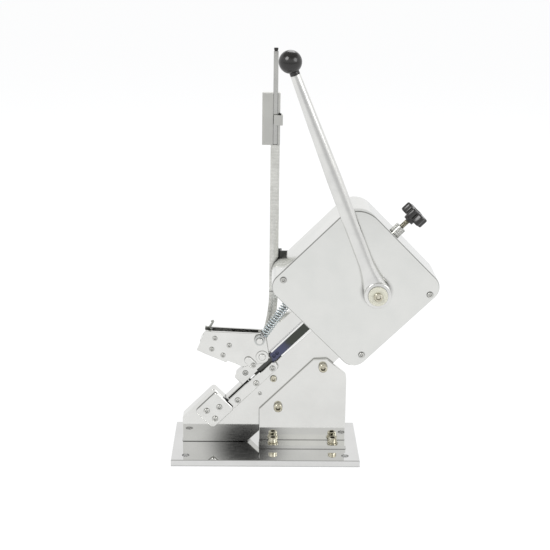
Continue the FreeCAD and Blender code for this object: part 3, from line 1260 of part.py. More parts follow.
# Adjusting screw behind the rack, with its lock nut and star knob.
adjust_axis = moved(ram_view, 0, rack_middle, gear_middle, FreeCAD.Rotation(V(0, 1, 0), 90))
adjust_tip = S.rack_back + S.adjust_gap
adjust_side = S.adjust_wide / 2 - S.run_gap
knob_end = S.knob_place + S.knob_thick
adjust_end = knob_end - S.knob_edge * 2
turned("adjusting_screw", adjust_axis, [
    (0, adjust_tip), (adjust_side - S.adjust_point, adjust_tip), (adjust_side, adjust_tip + S.adjust_point),
    (adjust_side, adjust_end), (0, adjust_end),
])
nut_end = box_end + S.lock_nut_long
lock_nut = cylinder(S.lock_nut_wide, box_end, nut_end).cut(cylinder(S.adjust_wide, box_end, nut_end))
for step in range(int(S.knurl_grooves.worth)):
    turn = math.radians(360 * step / S.knurl_grooves.worth)
    reach = (S.lock_nut_wide / 2).worth
    lock_nut = lock_nut.cut(
        cylinder(S.knurl_wide, box_end, nut_end, reach * math.cos(turn), reach * math.sin(turn)))
group("adjuster_lock_nut", adjust_axis, [lock_nut])
knob = start_body("star_knob", adjust_axis)
knob_sketch = start_sketch(knob, S.knob_place)
draw_circles(knob_sketch, [(0, 0, S.knob_wide)])
add_pad(knob, knob_sketch, S.knob_thick)
for level in (S.knob_place, knob_end):
    break_edges(knob, level, S.knob_edge)
scallops = []
for step in range(int(S.knob_lobes.worth)):
    turn = math.radians(360 * step / S.knob_lobes.worth)
    hollow_x, hollow_y = S.scallop_place * math.cos(turn), S.scallop_place * math.sin(turn)
    scallops.append((hollow_x, hollow_y, S.scallop_wide))
cut_circles(knob, scallops, S.knob_place, S.knob_thick)
neck_start = S.knob_place - S.knob_neck_long
neck = start_sketch(knob, neck_start)
draw_circles(neck, [(0, 0, S.knob_neck)])
add_pad(knob, neck, S.knob_neck_long + S.knob_edge)
cut_circles(knob, [(0, 0, adjust_side * 2)], neck_start, adjust_end - neck_start)

# Clip rail behind the housing: straight down, then curving left and forward into the frame.
bend_top = S.bend_top.worth
rail_y, rail_x = S.rail_behind.worth, S.rail_right.worth
entry_x, entry_z = (p.worth for p in along(S.clip_port_place, 0))
frame_rear = -frame_back.worth
bend = [
    V(rail_x, rail_y, bend_top),
    V(rail_x, rail_y, bend_top - S.bend_drop.worth),
    V(entry_x, frame_rear + S.bend_pull.worth, entry_z),
    V(entry_x, frame_rear + S.bend_end.worth, entry_z),
]


BEND_STEPS = 10


def rail_frames(top, tail):
    """Frames down the straight part, round the bend and into the frame plate."""
    frames = [(V(rail_x, rail_y, top), V(1, 0, 0), V(0, -1, 0))]
    a, b, c, d = bend
    for step in range(BEND_STEPS + 1):
        share = step / BEND_STEPS
        rest = 1 - share
        centre = a * rest ** 3 + b * (3 * share * rest ** 2) + c * (3 * share ** 2 * rest) + d * share ** 3
        slope = (b - a) * (3 * rest ** 2) + (c - b) * (6 * share * rest) + (d - c) * (3 * share ** 2)
        slope = slope.normalize()
        twist = -math.radians(S.ram_angle.worth) * (3 * share ** 2 - 2 * share ** 3)
        side = V(math.cos(twist), 0, math.sin(twist))
        side = (side - slope * side.dot(slope)).normalize()
        frames.append((centre, side, slope.cross(side).normalize()))
    last = frames[-1]
    frames.append((V(last[0].x, tail, last[0].z), last[1], last[2]))
    return frames


def swept(frames, section):
    """A bar of one section carried through the frames."""
    wires = []
    for centre, side, front in frames:
        points = [centre + side * x + front * y for x, y in section]
        wires.append(Part.makePolygon(points + points[:1]))
    bar = Part.makeLoft(wires, True, True)
    if bar.Volume < 0:
        bar.reverse()
    return bar


half_rail, half_deep = S.rail_wide.worth / 2, S.rail_thick.worth / 2
rail_section = [
    (-half_rail, -half_deep), (half_rail, -half_deep), (half_rail, half_deep), (-half_rail, half_deep),
]
half_clip = S.clip_wide.worth / 2
clip_in = half_rail + S.clip_gap.worth
crown_in, crown_out = half_deep + S.clip_gap.worth, half_deep + S.clip_crown.worth
stack_outer = [
    (-half_clip, -half_deep), (half_clip, -half_deep), (half_clip, crown_out), (-half_clip, crown_out),
]
stack_inner = [
    (-clip_in, -half_deep - PAST), (clip_in, -half_deep - PAST), (clip_in, crown_in), (-clip_in, crown_in),
]
rail_tail = frame_rear - S.rail_tail.worth
rail = swept(rail_frames(S.rail_top.worth, rail_tail), rail_section)
rail_screw_z = S.rail_screw_place.worth
rail_hole_end = V(rail_x, rail_y + half_deep - S.rail_screw_deep.worth, rail_screw_z)
rail_hole = Part.makeCylinder(S.fine_screw.worth / 2, S.rail_thick.worth, rail_hole_end, V(0, 1, 0))
group("clip_rail", floor_view, [rail.cut(rail_hole)])
stack_top = S.weight_low.worth
stack = swept(rail_frames(stack_top, rail_tail), stack_outer).cut(
    swept(rail_frames(stack_top + PAST, rail_tail - PAST), stack_inner))
group("clip_stack", floor_view, [stack])
cap_wide, cap_deep = S.rail_cap_wide.worth, S.rail_cap_deep.worth
stop = Part.makeBox(cap_wide, cap_deep, S.rail_cap.worth, V(-cap_wide / 2, -cap_deep / 2, 0))
stop = stop.makeFillet(S.rail_cap_edge.worth, stop.Edges)
group("rail_top_stop", moved(floor_view, rail_x, rail_y, S.rail_top), [stop])

rail_bracket = start_body("rail_bracket", floor_view)
wall_y = S.box_back
rail_rear = S.rail_behind + S.rail_thick / 2
strap_left = S.rail_right - S.strap_left
strap_rear, strap_arm_rear = wall_y + S.strap_thick, rail_rear + S.strap_arm
bend_right = S.strap_bend + S.strap_thick
bracket_plan = [
    (strap_left, rail_rear), (S.strap_bend, rail_rear), (S.strap_bend, wall_y), (S.strap_right, wall_y),
    (S.strap_right, strap_rear), (bend_right, strap_rear), (bend_right, strap_arm_rear),
    (strap_left, strap_arm_rear),
]
pad_outline(rail_bracket, bracket_plan, S.strap_low, S.strap_tall)
arm_area = box_corners(strap_left - PAST, wall_y - PAST, bend_right + PAST, strap_arm_rear + PAST)
cut_outline(rail_bracket, arm_area, S.strap_low, S.strap_step)
screw_rear = start_sketch(rail_bracket, -strap_rear, "XZ_Plane")
draw_circles(screw_rear, holes(BRACKET_SCREWS, S.jaw_screw))
rear_pocket = rail_bracket.newObject("PartDesign::Pocket", "rail_bracket_holes")
rear_pocket.Profile = screw_rear
rear_pocket.Reversed = True
tie(rear_pocket, "Length", S.strap_thick)
rail_hole_sketch = start_sketch(rail_bracket, -strap_arm_rear, "XZ_Plane")
draw_circles(rail_hole_sketch, [(S.rail_right, S.rail_screw_place, S.fine_screw)])
rail_pocket = rail_bracket.newObject("PartDesign::Pocket", "rail_bracket_hole")
rail_pocket.Profile = rail_hole_sketch
rail_pocket.Reversed = True
tie(rail_pocket, "Length", S.strap_arm)
doc.recompute()
rear_view = FreeCAD.Placement(V(0, 0, 0), FreeCAD.Rotation(V(1, 0, 0), -90))
rear_screw = screw(S.jaw_screw, strap_rear, S.strap_thick + S.box_floor)
rail_screw = screw(S.fine_screw, strap_arm_rear, S.strap_arm + S.rail_screw_deep)
group("rail_bracket_screws", rear_view, at_all(rear_screw, [(x, -z) for x, z in BRACKET_SCREWS])
      + [placed(rail_screw, S.rail_right, -S.rail_screw_place)])

# Weight that follows the clips down the rail, with the block that keeps it on.
weight_front = S.rail_behind - S.weight_out
weight = start_body("clip_weight", floor_view)
slot_half = S.rail_wide / 2 + S.weight_gap
slot_rear = rail_rear + S.weight_gap
slot_left, slot_right = S.rail_right - slot_half, S.rail_right + slot_half
left_edge, right_edge = S.rail_right - S.weight_left, S.rail_right + S.weight_right
weight_rear = weight_front + S.weight_thick
weight_plan = [
    (left_edge, weight_front), (slot_left, weight_front), (slot_left, slot_rear), (slot_right, slot_rear),
    (slot_right, weight_front), (right_edge, weight_front), (right_edge, weight_rear),
    (left_edge, weight_rear),
]
pad_outline(weight, weight_plan, S.weight_low, S.weight_tall)
round_corners(weight, [weight_plan[0], weight_plan[5], weight_plan[6], weight_plan[7]], S.weight_corner)
clamp_left, clamp_right = S.rail_right - S.clamp_left, S.rail_right + S.clamp_right
clamp_front = weight_front - S.clamp_thick
weight_screw_spot = (S.rail_right + S.weight_screw_place, weight_front - S.weight_screw_out)
clamp = start_body("weight_clamp", floor_view)
clamp_plan = [
    (clamp_left, clamp_front), (clamp_right, clamp_front), (clamp_right, weight_front + S.clamp_cheek),
    (right_edge, weight_front + S.clamp_cheek), (right_edge, weight_front), (clamp_left, weight_front),
]
pad_outline(clamp, clamp_plan, S.clamp_low, S.clamp_tall)
clamp_top = S.clamp_low + S.clamp_tall
clamp_hole_low = clamp_top - S.weight_screw_long
cut_circles(clamp, [(*weight_screw_spot, S.tiny_screw)], clamp_hole_low, S.weight_screw_long)
weight_screw = screw(S.tiny_screw, clamp_top, S.weight_screw_long, S.cap_head)
group("weight_screw", floor_view, [placed(weight_screw, *weight_screw_spot)])

# Back recess in the frame plate, in which the gate arm's back plate swings.
RECESS_LOW, RECESS_END = 8, 118
recess = sloped_box(S.mouth_width - S.arm_play, RECESS_LOW, RECESS_END, S.band_height + PAST)
recess_floor = arm_back_level - S.arm_gap + S.arm_play
cut_outline(frame, recess, frame_back, recess_floor - frame_back)

doc.recompute()
NODES = [o for o in doc.Objects if o.TypeId in ("PartDesign::Body", "Part::Feature")]
for thing in doc.Objects:
    if "Invalid" in thing.State or "Error" in thing.State:
        raise ValueError(f"{thing.Name} is {thing.State}")
for thing in NODES:
    if thing.Shape.isNull() or not thing.Shape.isValid():
        raise ValueError(f"{thing.Label} has no sound shape")
os.makedirs("parts", exist_ok=True)
for thing in NODES:
    thing.Shape.exportStep(f"parts/{thing.Label}.step")
print(len(NODES), "nodes")
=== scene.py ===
import json
import math
import bmesh
import bpy
from mathutils import Matrix, Vector


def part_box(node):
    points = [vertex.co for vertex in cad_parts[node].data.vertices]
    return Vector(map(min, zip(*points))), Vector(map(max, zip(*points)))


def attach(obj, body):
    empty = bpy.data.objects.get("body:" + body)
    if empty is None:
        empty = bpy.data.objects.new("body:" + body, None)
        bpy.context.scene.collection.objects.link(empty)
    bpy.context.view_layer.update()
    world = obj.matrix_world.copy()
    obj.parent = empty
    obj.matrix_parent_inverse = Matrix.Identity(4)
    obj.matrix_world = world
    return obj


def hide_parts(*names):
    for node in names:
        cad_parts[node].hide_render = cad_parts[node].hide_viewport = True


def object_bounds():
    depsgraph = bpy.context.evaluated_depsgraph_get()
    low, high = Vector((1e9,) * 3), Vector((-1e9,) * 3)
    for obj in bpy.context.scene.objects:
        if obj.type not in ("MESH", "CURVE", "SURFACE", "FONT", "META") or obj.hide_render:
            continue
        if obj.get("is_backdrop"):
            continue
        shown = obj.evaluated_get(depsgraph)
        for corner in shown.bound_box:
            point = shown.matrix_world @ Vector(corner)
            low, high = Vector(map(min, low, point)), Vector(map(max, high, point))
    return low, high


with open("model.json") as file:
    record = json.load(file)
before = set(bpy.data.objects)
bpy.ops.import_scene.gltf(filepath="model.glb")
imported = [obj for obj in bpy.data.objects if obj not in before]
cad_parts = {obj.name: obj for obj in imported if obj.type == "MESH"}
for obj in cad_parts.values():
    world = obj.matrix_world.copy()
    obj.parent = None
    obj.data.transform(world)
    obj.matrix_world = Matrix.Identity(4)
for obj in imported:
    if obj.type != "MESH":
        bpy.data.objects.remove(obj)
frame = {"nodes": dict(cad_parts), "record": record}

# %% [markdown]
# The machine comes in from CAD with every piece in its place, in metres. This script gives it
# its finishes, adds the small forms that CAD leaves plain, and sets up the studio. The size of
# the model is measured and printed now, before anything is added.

MM = 0.001
cad_box = [list(corner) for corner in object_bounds()]
print("CAD box in metres:", [[round(v, 4) for v in corner] for corner in cad_box])

# %% [markdown]
# The camera stands 1.9 m in front of the machine and looks down on it by 17 degrees. Its place
# was worked out from the six visible corners of the base plate, whose real size is known. A
# camera in Blender looks along its own -Z, so its three axes are laid into a matrix by hand,
# which is surer than turning it by eye.

# %% Camera
PICTURE_WIDE = 550
FOCAL_PIXELS = 1212.93
SENSOR_MM = 36.0
FAR_LIMIT = 100
CAMERA_PLACE = Vector((-14.46, -1708.11, 795.27)) * MM
pitch, yaw, roll = (math.radians(turn) for turn in (16.912, 0.888, -0.684))
forward = Vector((
    math.sin(yaw) * math.cos(pitch), math.cos(yaw) * math.cos(pitch), -math.sin(pitch)))
right = Vector((math.cos(yaw), -math.sin(yaw), 0))
down = forward.cross(right)
right_rolled = right * math.cos(roll) + down * math.sin(roll)
down_rolled = down * math.cos(roll) - right * math.sin(roll)
camera_data = bpy.data.cameras.new("studio_camera")
camera_data.sensor_width = SENSOR_MM
camera_data.lens = FOCAL_PIXELS / PICTURE_WIDE * SENSOR_MM
camera_data.clip_end = FAR_LIMIT
camera = bpy.data.objects.new("studio_camera", camera_data)
camera.matrix_world = Matrix.Translation(CAMERA_PLACE) @ Matrix(
    (right_rolled, -down_rolled, -forward)).transposed().to_4x4()
bpy.context.scene.collection.objects.link(camera)
bpy.context.scene.camera = camera
print("lens:", round(camera_data.lens, 2), "mm")

# %% [markdown]
# Colours are written as the sRGB hex values that a colour picker shows. Blender's shaders count
# light in linear steps, so one function turns each hex value to linear. A second small function
# adds a node, sets its inputs and makes its links, so that each finish below reads as a recipe.
# A Mix node has sockets for every kind of data, and those for colours go by their numbers.

# %% Colour and node helpers
MIX_FIRST, MIX_SECOND, MIX_RESULT = 6, 7, 2


def linear(hex_colour):
    """A colour such as 8FA0B0 in sRGB hex, as linear red, green, blue and alpha."""
    parts = [int(hex_colour[i:i + 2], 16) / 255 for i in (0, 2, 4)]
    return [p / 12.92 if p <= 0.04045 else ((p + 0.055) / 1.055) ** 2.4 for p in parts] + [1.0]


def add_node(tree, kind, settings=None, inputs=None):
    """Adds a node. An input is a value, or another node's output socket to link."""
    made = tree.nodes.new(kind)
    for key, value in (settings or {}).items():
        setattr(made, key, value)
    for key, value in (inputs or {}).items():
        if isinstance(value, bpy.types.NodeSocket):
            tree.links.new(value, made.inputs[key])
        else:
            made.inputs[key].default_value = value
    return made


def new_finish(name):
    """An empty material with its node tree, its output node and its object coordinates."""
    material = bpy.data.materials.new(name)
    material.use_nodes = True
    tree = material.node_tree
    tree.nodes.clear()
    output = add_node(tree, "ShaderNodeOutputMaterial")
    place = add_node(tree, "ShaderNodeTexCoord").outputs["Object"]
    return material, tree, output, place


# %% [markdown]
# Where two pieces meet, the colour is darkened as painted shade: a thin dark line round every
# strip, plate and screw head. The ambient occlusion node finds such corners, because there part of
# the sky over the surface is shut out, and a map range turns that into the line. A second, wider
# pair darkens only the floors of deep slots, where hardly any light comes in at all. Each pair of
# limits gives the share of open sky at which the dark is full, and the share at which it ends.

# %% Painted shade where pieces meet and in deep slots
SEAM_REACH = 2.0 * MM
SEAM_SKY = (0.35, 0.9)
SEAM_SHADE_DARK = 0.12
SLOT_REACH = 9.0 * MM
SLOT_SKY = (0.12, 0.42)
SLOT_DARK = 0.1
SKY_RAYS = 8


def with_painted_shade(tree, colour, seam_shade_dark, slot_sky=SLOT_SKY, slot_reach=SLOT_REACH):
    """A colour darkened as painted shade between pieces, and darker still in deep slots."""
    corner = add_node(tree, "ShaderNodeAmbientOcclusion", {"samples": SKY_RAYS}, {
        "Distance": SEAM_REACH})
    line = add_node(tree, "ShaderNodeMapRange", None, {
        "Value": corner.outputs["AO"], "From Min": SEAM_SKY[0], "From Max": SEAM_SKY[1],
        "To Min": seam_shade_dark, "To Max": 1.0})
    depth = add_node(tree, "ShaderNodeAmbientOcclusion", {"samples": SKY_RAYS}, {
        "Distance": slot_reach})
    deep = add_node(tree, "ShaderNodeMapRange", None, {
        "Value": depth.outputs["AO"], "From Min": slot_sky[0], "From Max": slot_sky[1],
        "To Min": SLOT_DARK, "To Max": 1.0})
    shade = add_node(tree, "ShaderNodeMath", {"operation": "MULTIPLY"}, {
        0: line.outputs["Result"], 1: deep.outputs["Result"]})
    return add_node(tree, "ShaderNodeVectorMath", {"operation": "SCALE"}, {
        0: colour, "Scale": shade.outputs["Value"]}).outputs["Vector"]


# %% [markdown]
# Most of the machine is steel plated bright, and it differs mainly in how smooth the surface was
# before plating. Bright plate has a faint cloudiness some centimetres across and very fine
# polishing marks. Both are noise textures: the wide one shifts the colour a little, and the fine
# one, stretched along the grain, shifts the roughness and gives a slight bump. The grain is drawn
# coarser than the real marks, so that it shows at all.

# %% Recipe for plated and machined metal
GRAIN_STRETCH = 0.06
CLOUD_MM = 45.0


def metal_finish(name, dark, pale, roughness, spread, grain_mm, grain_turn, bump_mm,
                 cloud_mm=CLOUD_MM, seam_shade_dark=SEAM_SHADE_DARK, slot_sky=SLOT_SKY,
                 slot_reach=SLOT_REACH):
    """Metal whose grain is grain_mm wide, turned by grain_turn degrees about the view's axis."""
    material, tree, output, place = new_finish(name)
    cloud = add_node(tree, "ShaderNodeTexNoise", None, {
        "Vector": place, "Scale": 1 / (cloud_mm * MM), "Detail": 4.0, "Roughness": 0.55})
    turned = add_node(tree, "ShaderNodeMapping", None, {
        "Vector": place, "Rotation": (0.0, math.radians(grain_turn), 0.0),
        "Scale": (GRAIN_STRETCH, 1.0, 1.0)})
    grain = add_node(tree, "ShaderNodeTexNoise", None, {
        "Vector": turned.outputs["Vector"], "Scale": 1 / (grain_mm * MM), "Detail": 3.0,
        "Roughness": 0.6})
    tint = add_node(tree, "ShaderNodeValToRGB", None, {"Fac": cloud.outputs["Fac"]})
    tint.color_ramp.elements[0].position = 0.32
    tint.color_ramp.elements[0].color = linear(dark)
    tint.color_ramp.elements[1].position = 0.68
    tint.color_ramp.elements[1].color = linear(pale)
    shine = add_node(tree, "ShaderNodeMapRange", None, {
        "Value": grain.outputs["Fac"], "From Min": 0.3, "From Max": 0.7,
        "To Min": max(roughness - spread, 0.01), "To Max": roughness + spread})
    relief = add_node(tree, "ShaderNodeBump", None, {
        "Height": grain.outputs["Fac"], "Strength": 0.35, "Distance": bump_mm * MM})
    # The base colour carries painted shade between pieces and in deep slots.
    surface = add_node(tree, "ShaderNodeBsdfPrincipled", None, {
        "Base Color": with_painted_shade(tree, tint.outputs["Color"], seam_shade_dark, slot_sky, slot_reach),
        "Roughness": shine.outputs["Result"], "Normal": relief.outputs["Normal"],
        "Metallic": 1.0})
    tree.links.new(surface.outputs["BSDF"], output.inputs["Surface"])
    return material


# %% [markdown]
# The finishes go from the smoothest to the dullest way of making plated steel, and then to the
# bare and the zinc plated metals. Each line gives the darkest and palest tone, the roughness and
# its spread, the width and turn of the grain and the depth of its bump.

# %% Plated and machined metals
# The base was ground and buffed before plating, and mirrors what stands on it.
mirror_chrome = metal_finish(
    "mirror_chrome_on_ground_steel", "D6D6D5", "DCDCDB", 0.03, 0.008, 1.2, 0, 0.0003)
# The upright plates were polished a little less, so far images in them are softer.
plate_chrome = metal_finish(
    "polished_chrome_on_plate_steel", "DCDCD9", "E2E2DF", 0.055, 0.012, 1.0, -45, 0.0006)
# Milled pieces keep a trace of the cutter and shine without clear images.
bright_chrome = metal_finish(
    "bright_chrome_on_milled_steel", "DADAD7", "E4E4E1", 0.15, 0.020, 1.0, -45, 0.0012)
# Pressed sheet is as bright, with a wide faint cloudiness.
sheet_chrome = metal_finish(
    "bright_chrome_on_pressed_sheet", "DADBD8", "E2E2DF", 0.14, 0.020, 1.6, 20, 0.0008,
    cloud_mm=70)
# The cover is the same sheet; its painted shade round the lever's hub and screws spreads wider.
cover_chrome = metal_finish(
    "bright_chrome_on_cover_sheet", "DADBD8", "E2E2DF", 0.14, 0.020, 1.6, 20, 0.0008,
    cloud_mm=70, slot_sky=(0.45, 0.88), slot_reach=11 * MM)
# The forging was polished by hand over a rough skin: broad, soft highlights.
forged_chrome = metal_finish(
    "chrome_on_forged_steel", "D9D9D7", "E3E3E0", 0.20, 0.02, 1.5, 65, 0.002, cloud_mm=25)
# The lips' chrome is made almost white, a painted highlight along both sides of the ram.
white_highlight_chrome = metal_finish(
    "chrome_painted_white_for_lip_highlight", "F2F2F0", "F8F8F6", 0.30, 0.02, 1.0, -45, 0.001)
# The weight is plated over a satin surface and shows no images.
weight_steel = metal_finish(
    "satin_plated_weight_steel", "C3C3BF", "CCCCC7", 0.34, 0.03, 0.9, 90, 0.003)
# Ground shaft steel is bare, grey and smooth.
ground_steel = metal_finish("ground_steel", "A9ABAD", "BFC0C1", 0.24, 0.06, 0.8, 0, 0.008)
# The sprung rod is oiled, and between the turns of its spring it is darker as painted shade.
rod_steel = metal_finish(
    "oiled_rod_steel_with_painted_coil_shade", "BEC0BE", "CFD1CF", 0.26, 0.06, 0.8, 0, 0.006,
    cloud_mm=8, seam_shade_dark=0.25, slot_sky=(0.12, 0.8))
# Gear steel is left as the cutter leaves it.
machined_steel = metal_finish(
    "machined_gear_steel", "8E9092", "A6A8A9", 0.30, 0.06, 0.8, 0, 0.010)
# The latch finger is cast and only cleaned: matt and darker.
dull_steel = metal_finish(
    "dull_cast_finger_steel", "8F918B", "A9AAA3", 0.34, 0.06, 0.7, 0, 0.010, cloud_mm=6)
# Black oxide leaves a thin charcoal skin with a low sheen.
black_oxide = metal_finish(
    "black_oxide_on_steel", "2B2B2A", "3A3A38", 0.36, 0.06, 0.6, 0, 0.006, cloud_mm=8)
# The rail is drawn through a die, which leaves fine lines down its length.
rail_steel = metal_finish(
    "bright_drawn_rail_steel", "CFCFCC", "DEDEDA", 0.18, 0.04, 0.8, 90, 0.003)
# The clips are pale drawn wire, and the painted shade between them is kept faint.
clip_wire = metal_finish(
    "drawn_clip_wire", "D3D3CE", "E3E3DE", 0.22, 0.04, 0.6, 0, 0.002,
    cloud_mm=9, seam_shade_dark=0.8, slot_sky=(0.3, 0.85))
# Clear zinc gives the small screws a slightly milky shine.
screw_zinc = metal_finish(
    "clear_zinc_on_screws", "BDBDB9", "D3D3CE", 0.22, 0.05, 0.6, 0, 0.006,
    cloud_mm=8, seam_shade_dark=0.16)
# Blue zinc gives the spring its cool tone.
spring_zinc = metal_finish(
    "blue_zinc_on_spring_wire", "B4C2C8", "DDE5E6", 0.20, 0.05, 0.5, 0, 0.003, cloud_mm=6)
# Yellow zinc on the bolts has faded to pale straw.
yellow_zinc = metal_finish(
    "yellow_zinc_on_bolts", "B2AC97", "DAD6C6", 0.26, 0.06, 0.6, 0, 0.004,
    cloud_mm=7, seam_shade_dark=0.16)
# Turned bronze is the one warm metal.
bush_bronze = metal_finish(
    "turned_bronze", "A9854F", "C09A60", 0.28, 0.06, 0.5, 0, 0.010, cloud_mm=12)
print("materials so far:", len(bpy.data.materials))

# %% [markdown]
# The ram is heat-blued: navy at its lower end, and charcoal higher up, where the colour ran out.
# A dot product with the ram's direction gives the distance along the ram, and a ramp turns that
# into the change of colour. A cloud of patches about 11 mm across makes the change uneven.

# %% Blued steel
RAM_SLOPE = math.radians(45)
PATCHES_A_METRE = 90.0
UNEVEN = 18 * MM
BLUED_SEAM_SHADE_DARK = 0.3


def blued_finish(name, low_colour, high_colour, change_start, change_end):
    """Dark steel whose colour changes along the ram between two distances from the origin."""
    material, tree, output, place = new_finish(name)
    up_ram = (math.cos(RAM_SLOPE), 0.0, math.sin(RAM_SLOPE))
    distance = add_node(tree, "ShaderNodeVectorMath", {"operation": "DOT_PRODUCT"}, {
        0: place, 1: up_ram})
    cloud = add_node(tree, "ShaderNodeTexNoise", None, {
        "Vector": place, "Scale": PATCHES_A_METRE, "Detail": 4.0})
    uneven = add_node(tree, "ShaderNodeMath", {"operation": "MULTIPLY_ADD"}, {
        0: cloud.outputs["Fac"], 1: UNEVEN, 2: distance.outputs["Value"]})
    share = add_node(tree, "ShaderNodeMapRange", {"interpolation_type": "SMOOTHSTEP"}, {
        "Value": uneven.outputs["Value"], "From Min": change_start, "From Max": change_end})
    tint = add_node(tree, "ShaderNodeMix", {"data_type": "RGBA"}, {
        "Factor": share.outputs["Result"], MIX_FIRST: linear(low_colour),
        MIX_SECOND: linear(high_colour)})
    shine = add_node(tree, "ShaderNodeMapRange", None, {
        "Value": cloud.outputs["Fac"], "From Min": 0.3, "From Max": 0.7,
        "To Min": 0.24, "To Max": 0.36})
    # The base colour carries painted shade between pieces and in deep slots.
    surface = add_node(tree, "ShaderNodeBsdfPrincipled", None, {
        "Base Color": with_painted_shade(tree, tint.outputs[MIX_RESULT], BLUED_SEAM_SHADE_DARK),
        "Roughness": shine.outputs["Result"], "Metallic": 1.0})
    tree.links.new(surface.outputs["BSDF"], output.inputs["Surface"])
    return material


blued_steel = blued_finish("dark_blued_ram_steel", "55586E", "4A4D48", 140 * MM, 158 * MM)
blued_punch = blued_finish("dark_blued_punch_steel", "545553", "55586E", 115 * MM, 119 * MM)

# %% [markdown]
# The ball, the star knob and the end stop are moulded thermoset plastic, black with a soft gloss.
# The washer on the lever is turned nylon, a little translucent to the eye and cream with age.
# The rail's bracket is black paint on steel. A fine noise gives each its own slight unevenness.


# %% Plastic and paint
def solid_finish(name, dark, pale, roughness, ior, speck_mm, bump_mm):
    """Plastic or paint with small differences of tone and a faint texture speck_mm across."""
    material, tree, output, place = new_finish(name)
    speck = add_node(tree, "ShaderNodeTexNoise", None, {
        "Vector": place, "Scale": 1 / (speck_mm * MM), "Detail": 5.0, "Roughness": 0.6})
    tint = add_node(tree, "ShaderNodeValToRGB", None, {"Fac": speck.outputs["Fac"]})
    tint.color_ramp.elements[0].position = 0.3
    tint.color_ramp.elements[0].color = linear(dark)
    tint.color_ramp.elements[1].position = 0.7
    tint.color_ramp.elements[1].color = linear(pale)
    shine = add_node(tree, "ShaderNodeMapRange", None, {
        "Value": speck.outputs["Fac"], "From Min": 0.3, "From Max": 0.7,
        "To Min": roughness * 0.85, "To Max": roughness * 1.15})
    relief = add_node(tree, "ShaderNodeBump", None, {
        "Height": speck.outputs["Fac"], "Strength": 0.3, "Distance": bump_mm * MM})
    surface = add_node(tree, "ShaderNodeBsdfPrincipled", None, {
        "Base Color": tint.outputs["Color"], "Roughness": shine.outputs["Result"],
        "Normal": relief.outputs["Normal"], "IOR": ior})
    tree.links.new(surface.outputs["BSDF"], output.inputs["Surface"])
    return material


black_moulding = solid_finish("black_moulded_phenolic", "100E0D", "1A1816", 0.21, 1.6, 1.5, 0.01)
black_paint = solid_finish("black_paint_on_steel", "1F201E", "30312D", 0.42, 1.5, 0.8, 0.02)
cream_nylon = solid_finish("turned_cream_nylon", "CFCDBC", "DEDCCB", 0.40, 1.53, 2.5, 0.01)

# %% [markdown]
# Each CAD piece now gets its finish. Most follow the material slot that the record gives them.
# A few pieces were finished differently from the rest of their slot on the real machine: the base
# is polished to a mirror, for one, and the jaw block is black.

# %% Finishes on the CAD pieces
by_slot = {
    "polished_steel": plate_chrome, "bright_plate": bright_chrome, "housing_sheet": sheet_chrome,
    "lever_steel": forged_chrome, "shaft_steel": ground_steel, "gear_steel": machined_steel,
    "blued_steel": blued_steel, "bronze": bush_bronze, "yellow_zinc": yellow_zinc,
    "plated_screws": screw_zinc, "spring_wire": spring_zinc, "black_plastic": black_moulding,
    "nylon": cream_nylon, "rail_steel": rail_steel, "clip_wire": clip_wire,
    "weight_steel": weight_steel, "black_bracket": black_paint,
}
special = {
    "base_plate": mirror_chrome, "front_cover": cover_chrome, "gate_pivot_pin": bright_chrome,
    "rod_bolt": bright_chrome, "gate_rod": rod_steel, "punch": blued_punch,
    "punch_screws": blued_steel, "jaw_block": black_oxide, "weight_screw": black_oxide,
    "latch_finger": dull_steel,
}
slot_of = {part["node"]: part["material_slot"] for part in frame["record"]["subparts"]}
for name, piece in frame["nodes"].items():
    piece.data.materials.clear()
    piece.data.materials.append(special.get(name, by_slot[slot_of[name]]))
print("finished", len(frame["nodes"]), "CAD pieces")

# %% [markdown]
# CAD leaves some small forms plain: the spring's wire has flats, the clips are one smooth bar, the
# adjusting screw has no thread and the star knob has hard edges. The cells below make these again
# with finer forms. Two small forms that CAD doesn't have come in as well.
#
# Most of them lie along or across the ram. These few names turn a distance along the ram, a height
# across it and a distance ahead of the middle into a place. Distances along the ram start at the
# foot of its channel.

# %% Directions of the ram, and one way to finish a piece
ALONG = Vector((math.cos(RAM_SLOPE), 0, math.sin(RAM_SLOPE)))
ACROSS = Vector((-math.sin(RAM_SLOPE), 0, math.cos(RAM_SLOPE)))
AHEAD = Vector((0, -1, 0))
CHANNEL_FOOT = Vector((-59.8, 0, 78.1)) * MM
SHARP_ANGLE = math.radians(35)


def middle_of(node):
    """The middle of a CAD piece's box."""
    low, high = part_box(node)
    return (Vector(low) + Vector(high)) / 2


def add_piece(name, bm, finish, body, nodes=(), smooth=True):
    """Makes a finished bmesh a piece with its material slot, its body and its CAD pieces."""
    bmesh.ops.recalc_face_normals(bm, faces=bm.faces)
    mesh = bpy.data.meshes.new(name)
    bm.to_mesh(mesh)
    bm.free()
    piece = bpy.data.objects.new(name, mesh)
    bpy.context.scene.collection.objects.link(piece)
    piece.data.materials.append(finish)
    if smooth:
        mesh.shade_smooth()
        mesh.set_sharp_from_angle(angle=SHARP_ANGLE)
    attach(piece, body)
    if nodes:
        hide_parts(*nodes)
    print(name, len(mesh.polygons), "faces")


def axis_matrix(origin, z_axis, x_axis):
    """Lays a piece drawn round its own Z along z_axis, from origin."""
    z = z_axis.normalized()
    x = (x_axis - z * x_axis.dot(z)).normalized()
    return Matrix.Translation(origin) @ Matrix((x, z.cross(x), z)).transposed().to_4x4()


# %% [markdown]
# A coil spring is a small circle carried round an axis while it climbs. The spin operator does
# just that: it copies the circle step by step, turns it and shifts it by the same amount each
# time. The spring lies on the sprung rod, 10.5 degrees steeper than the ram.

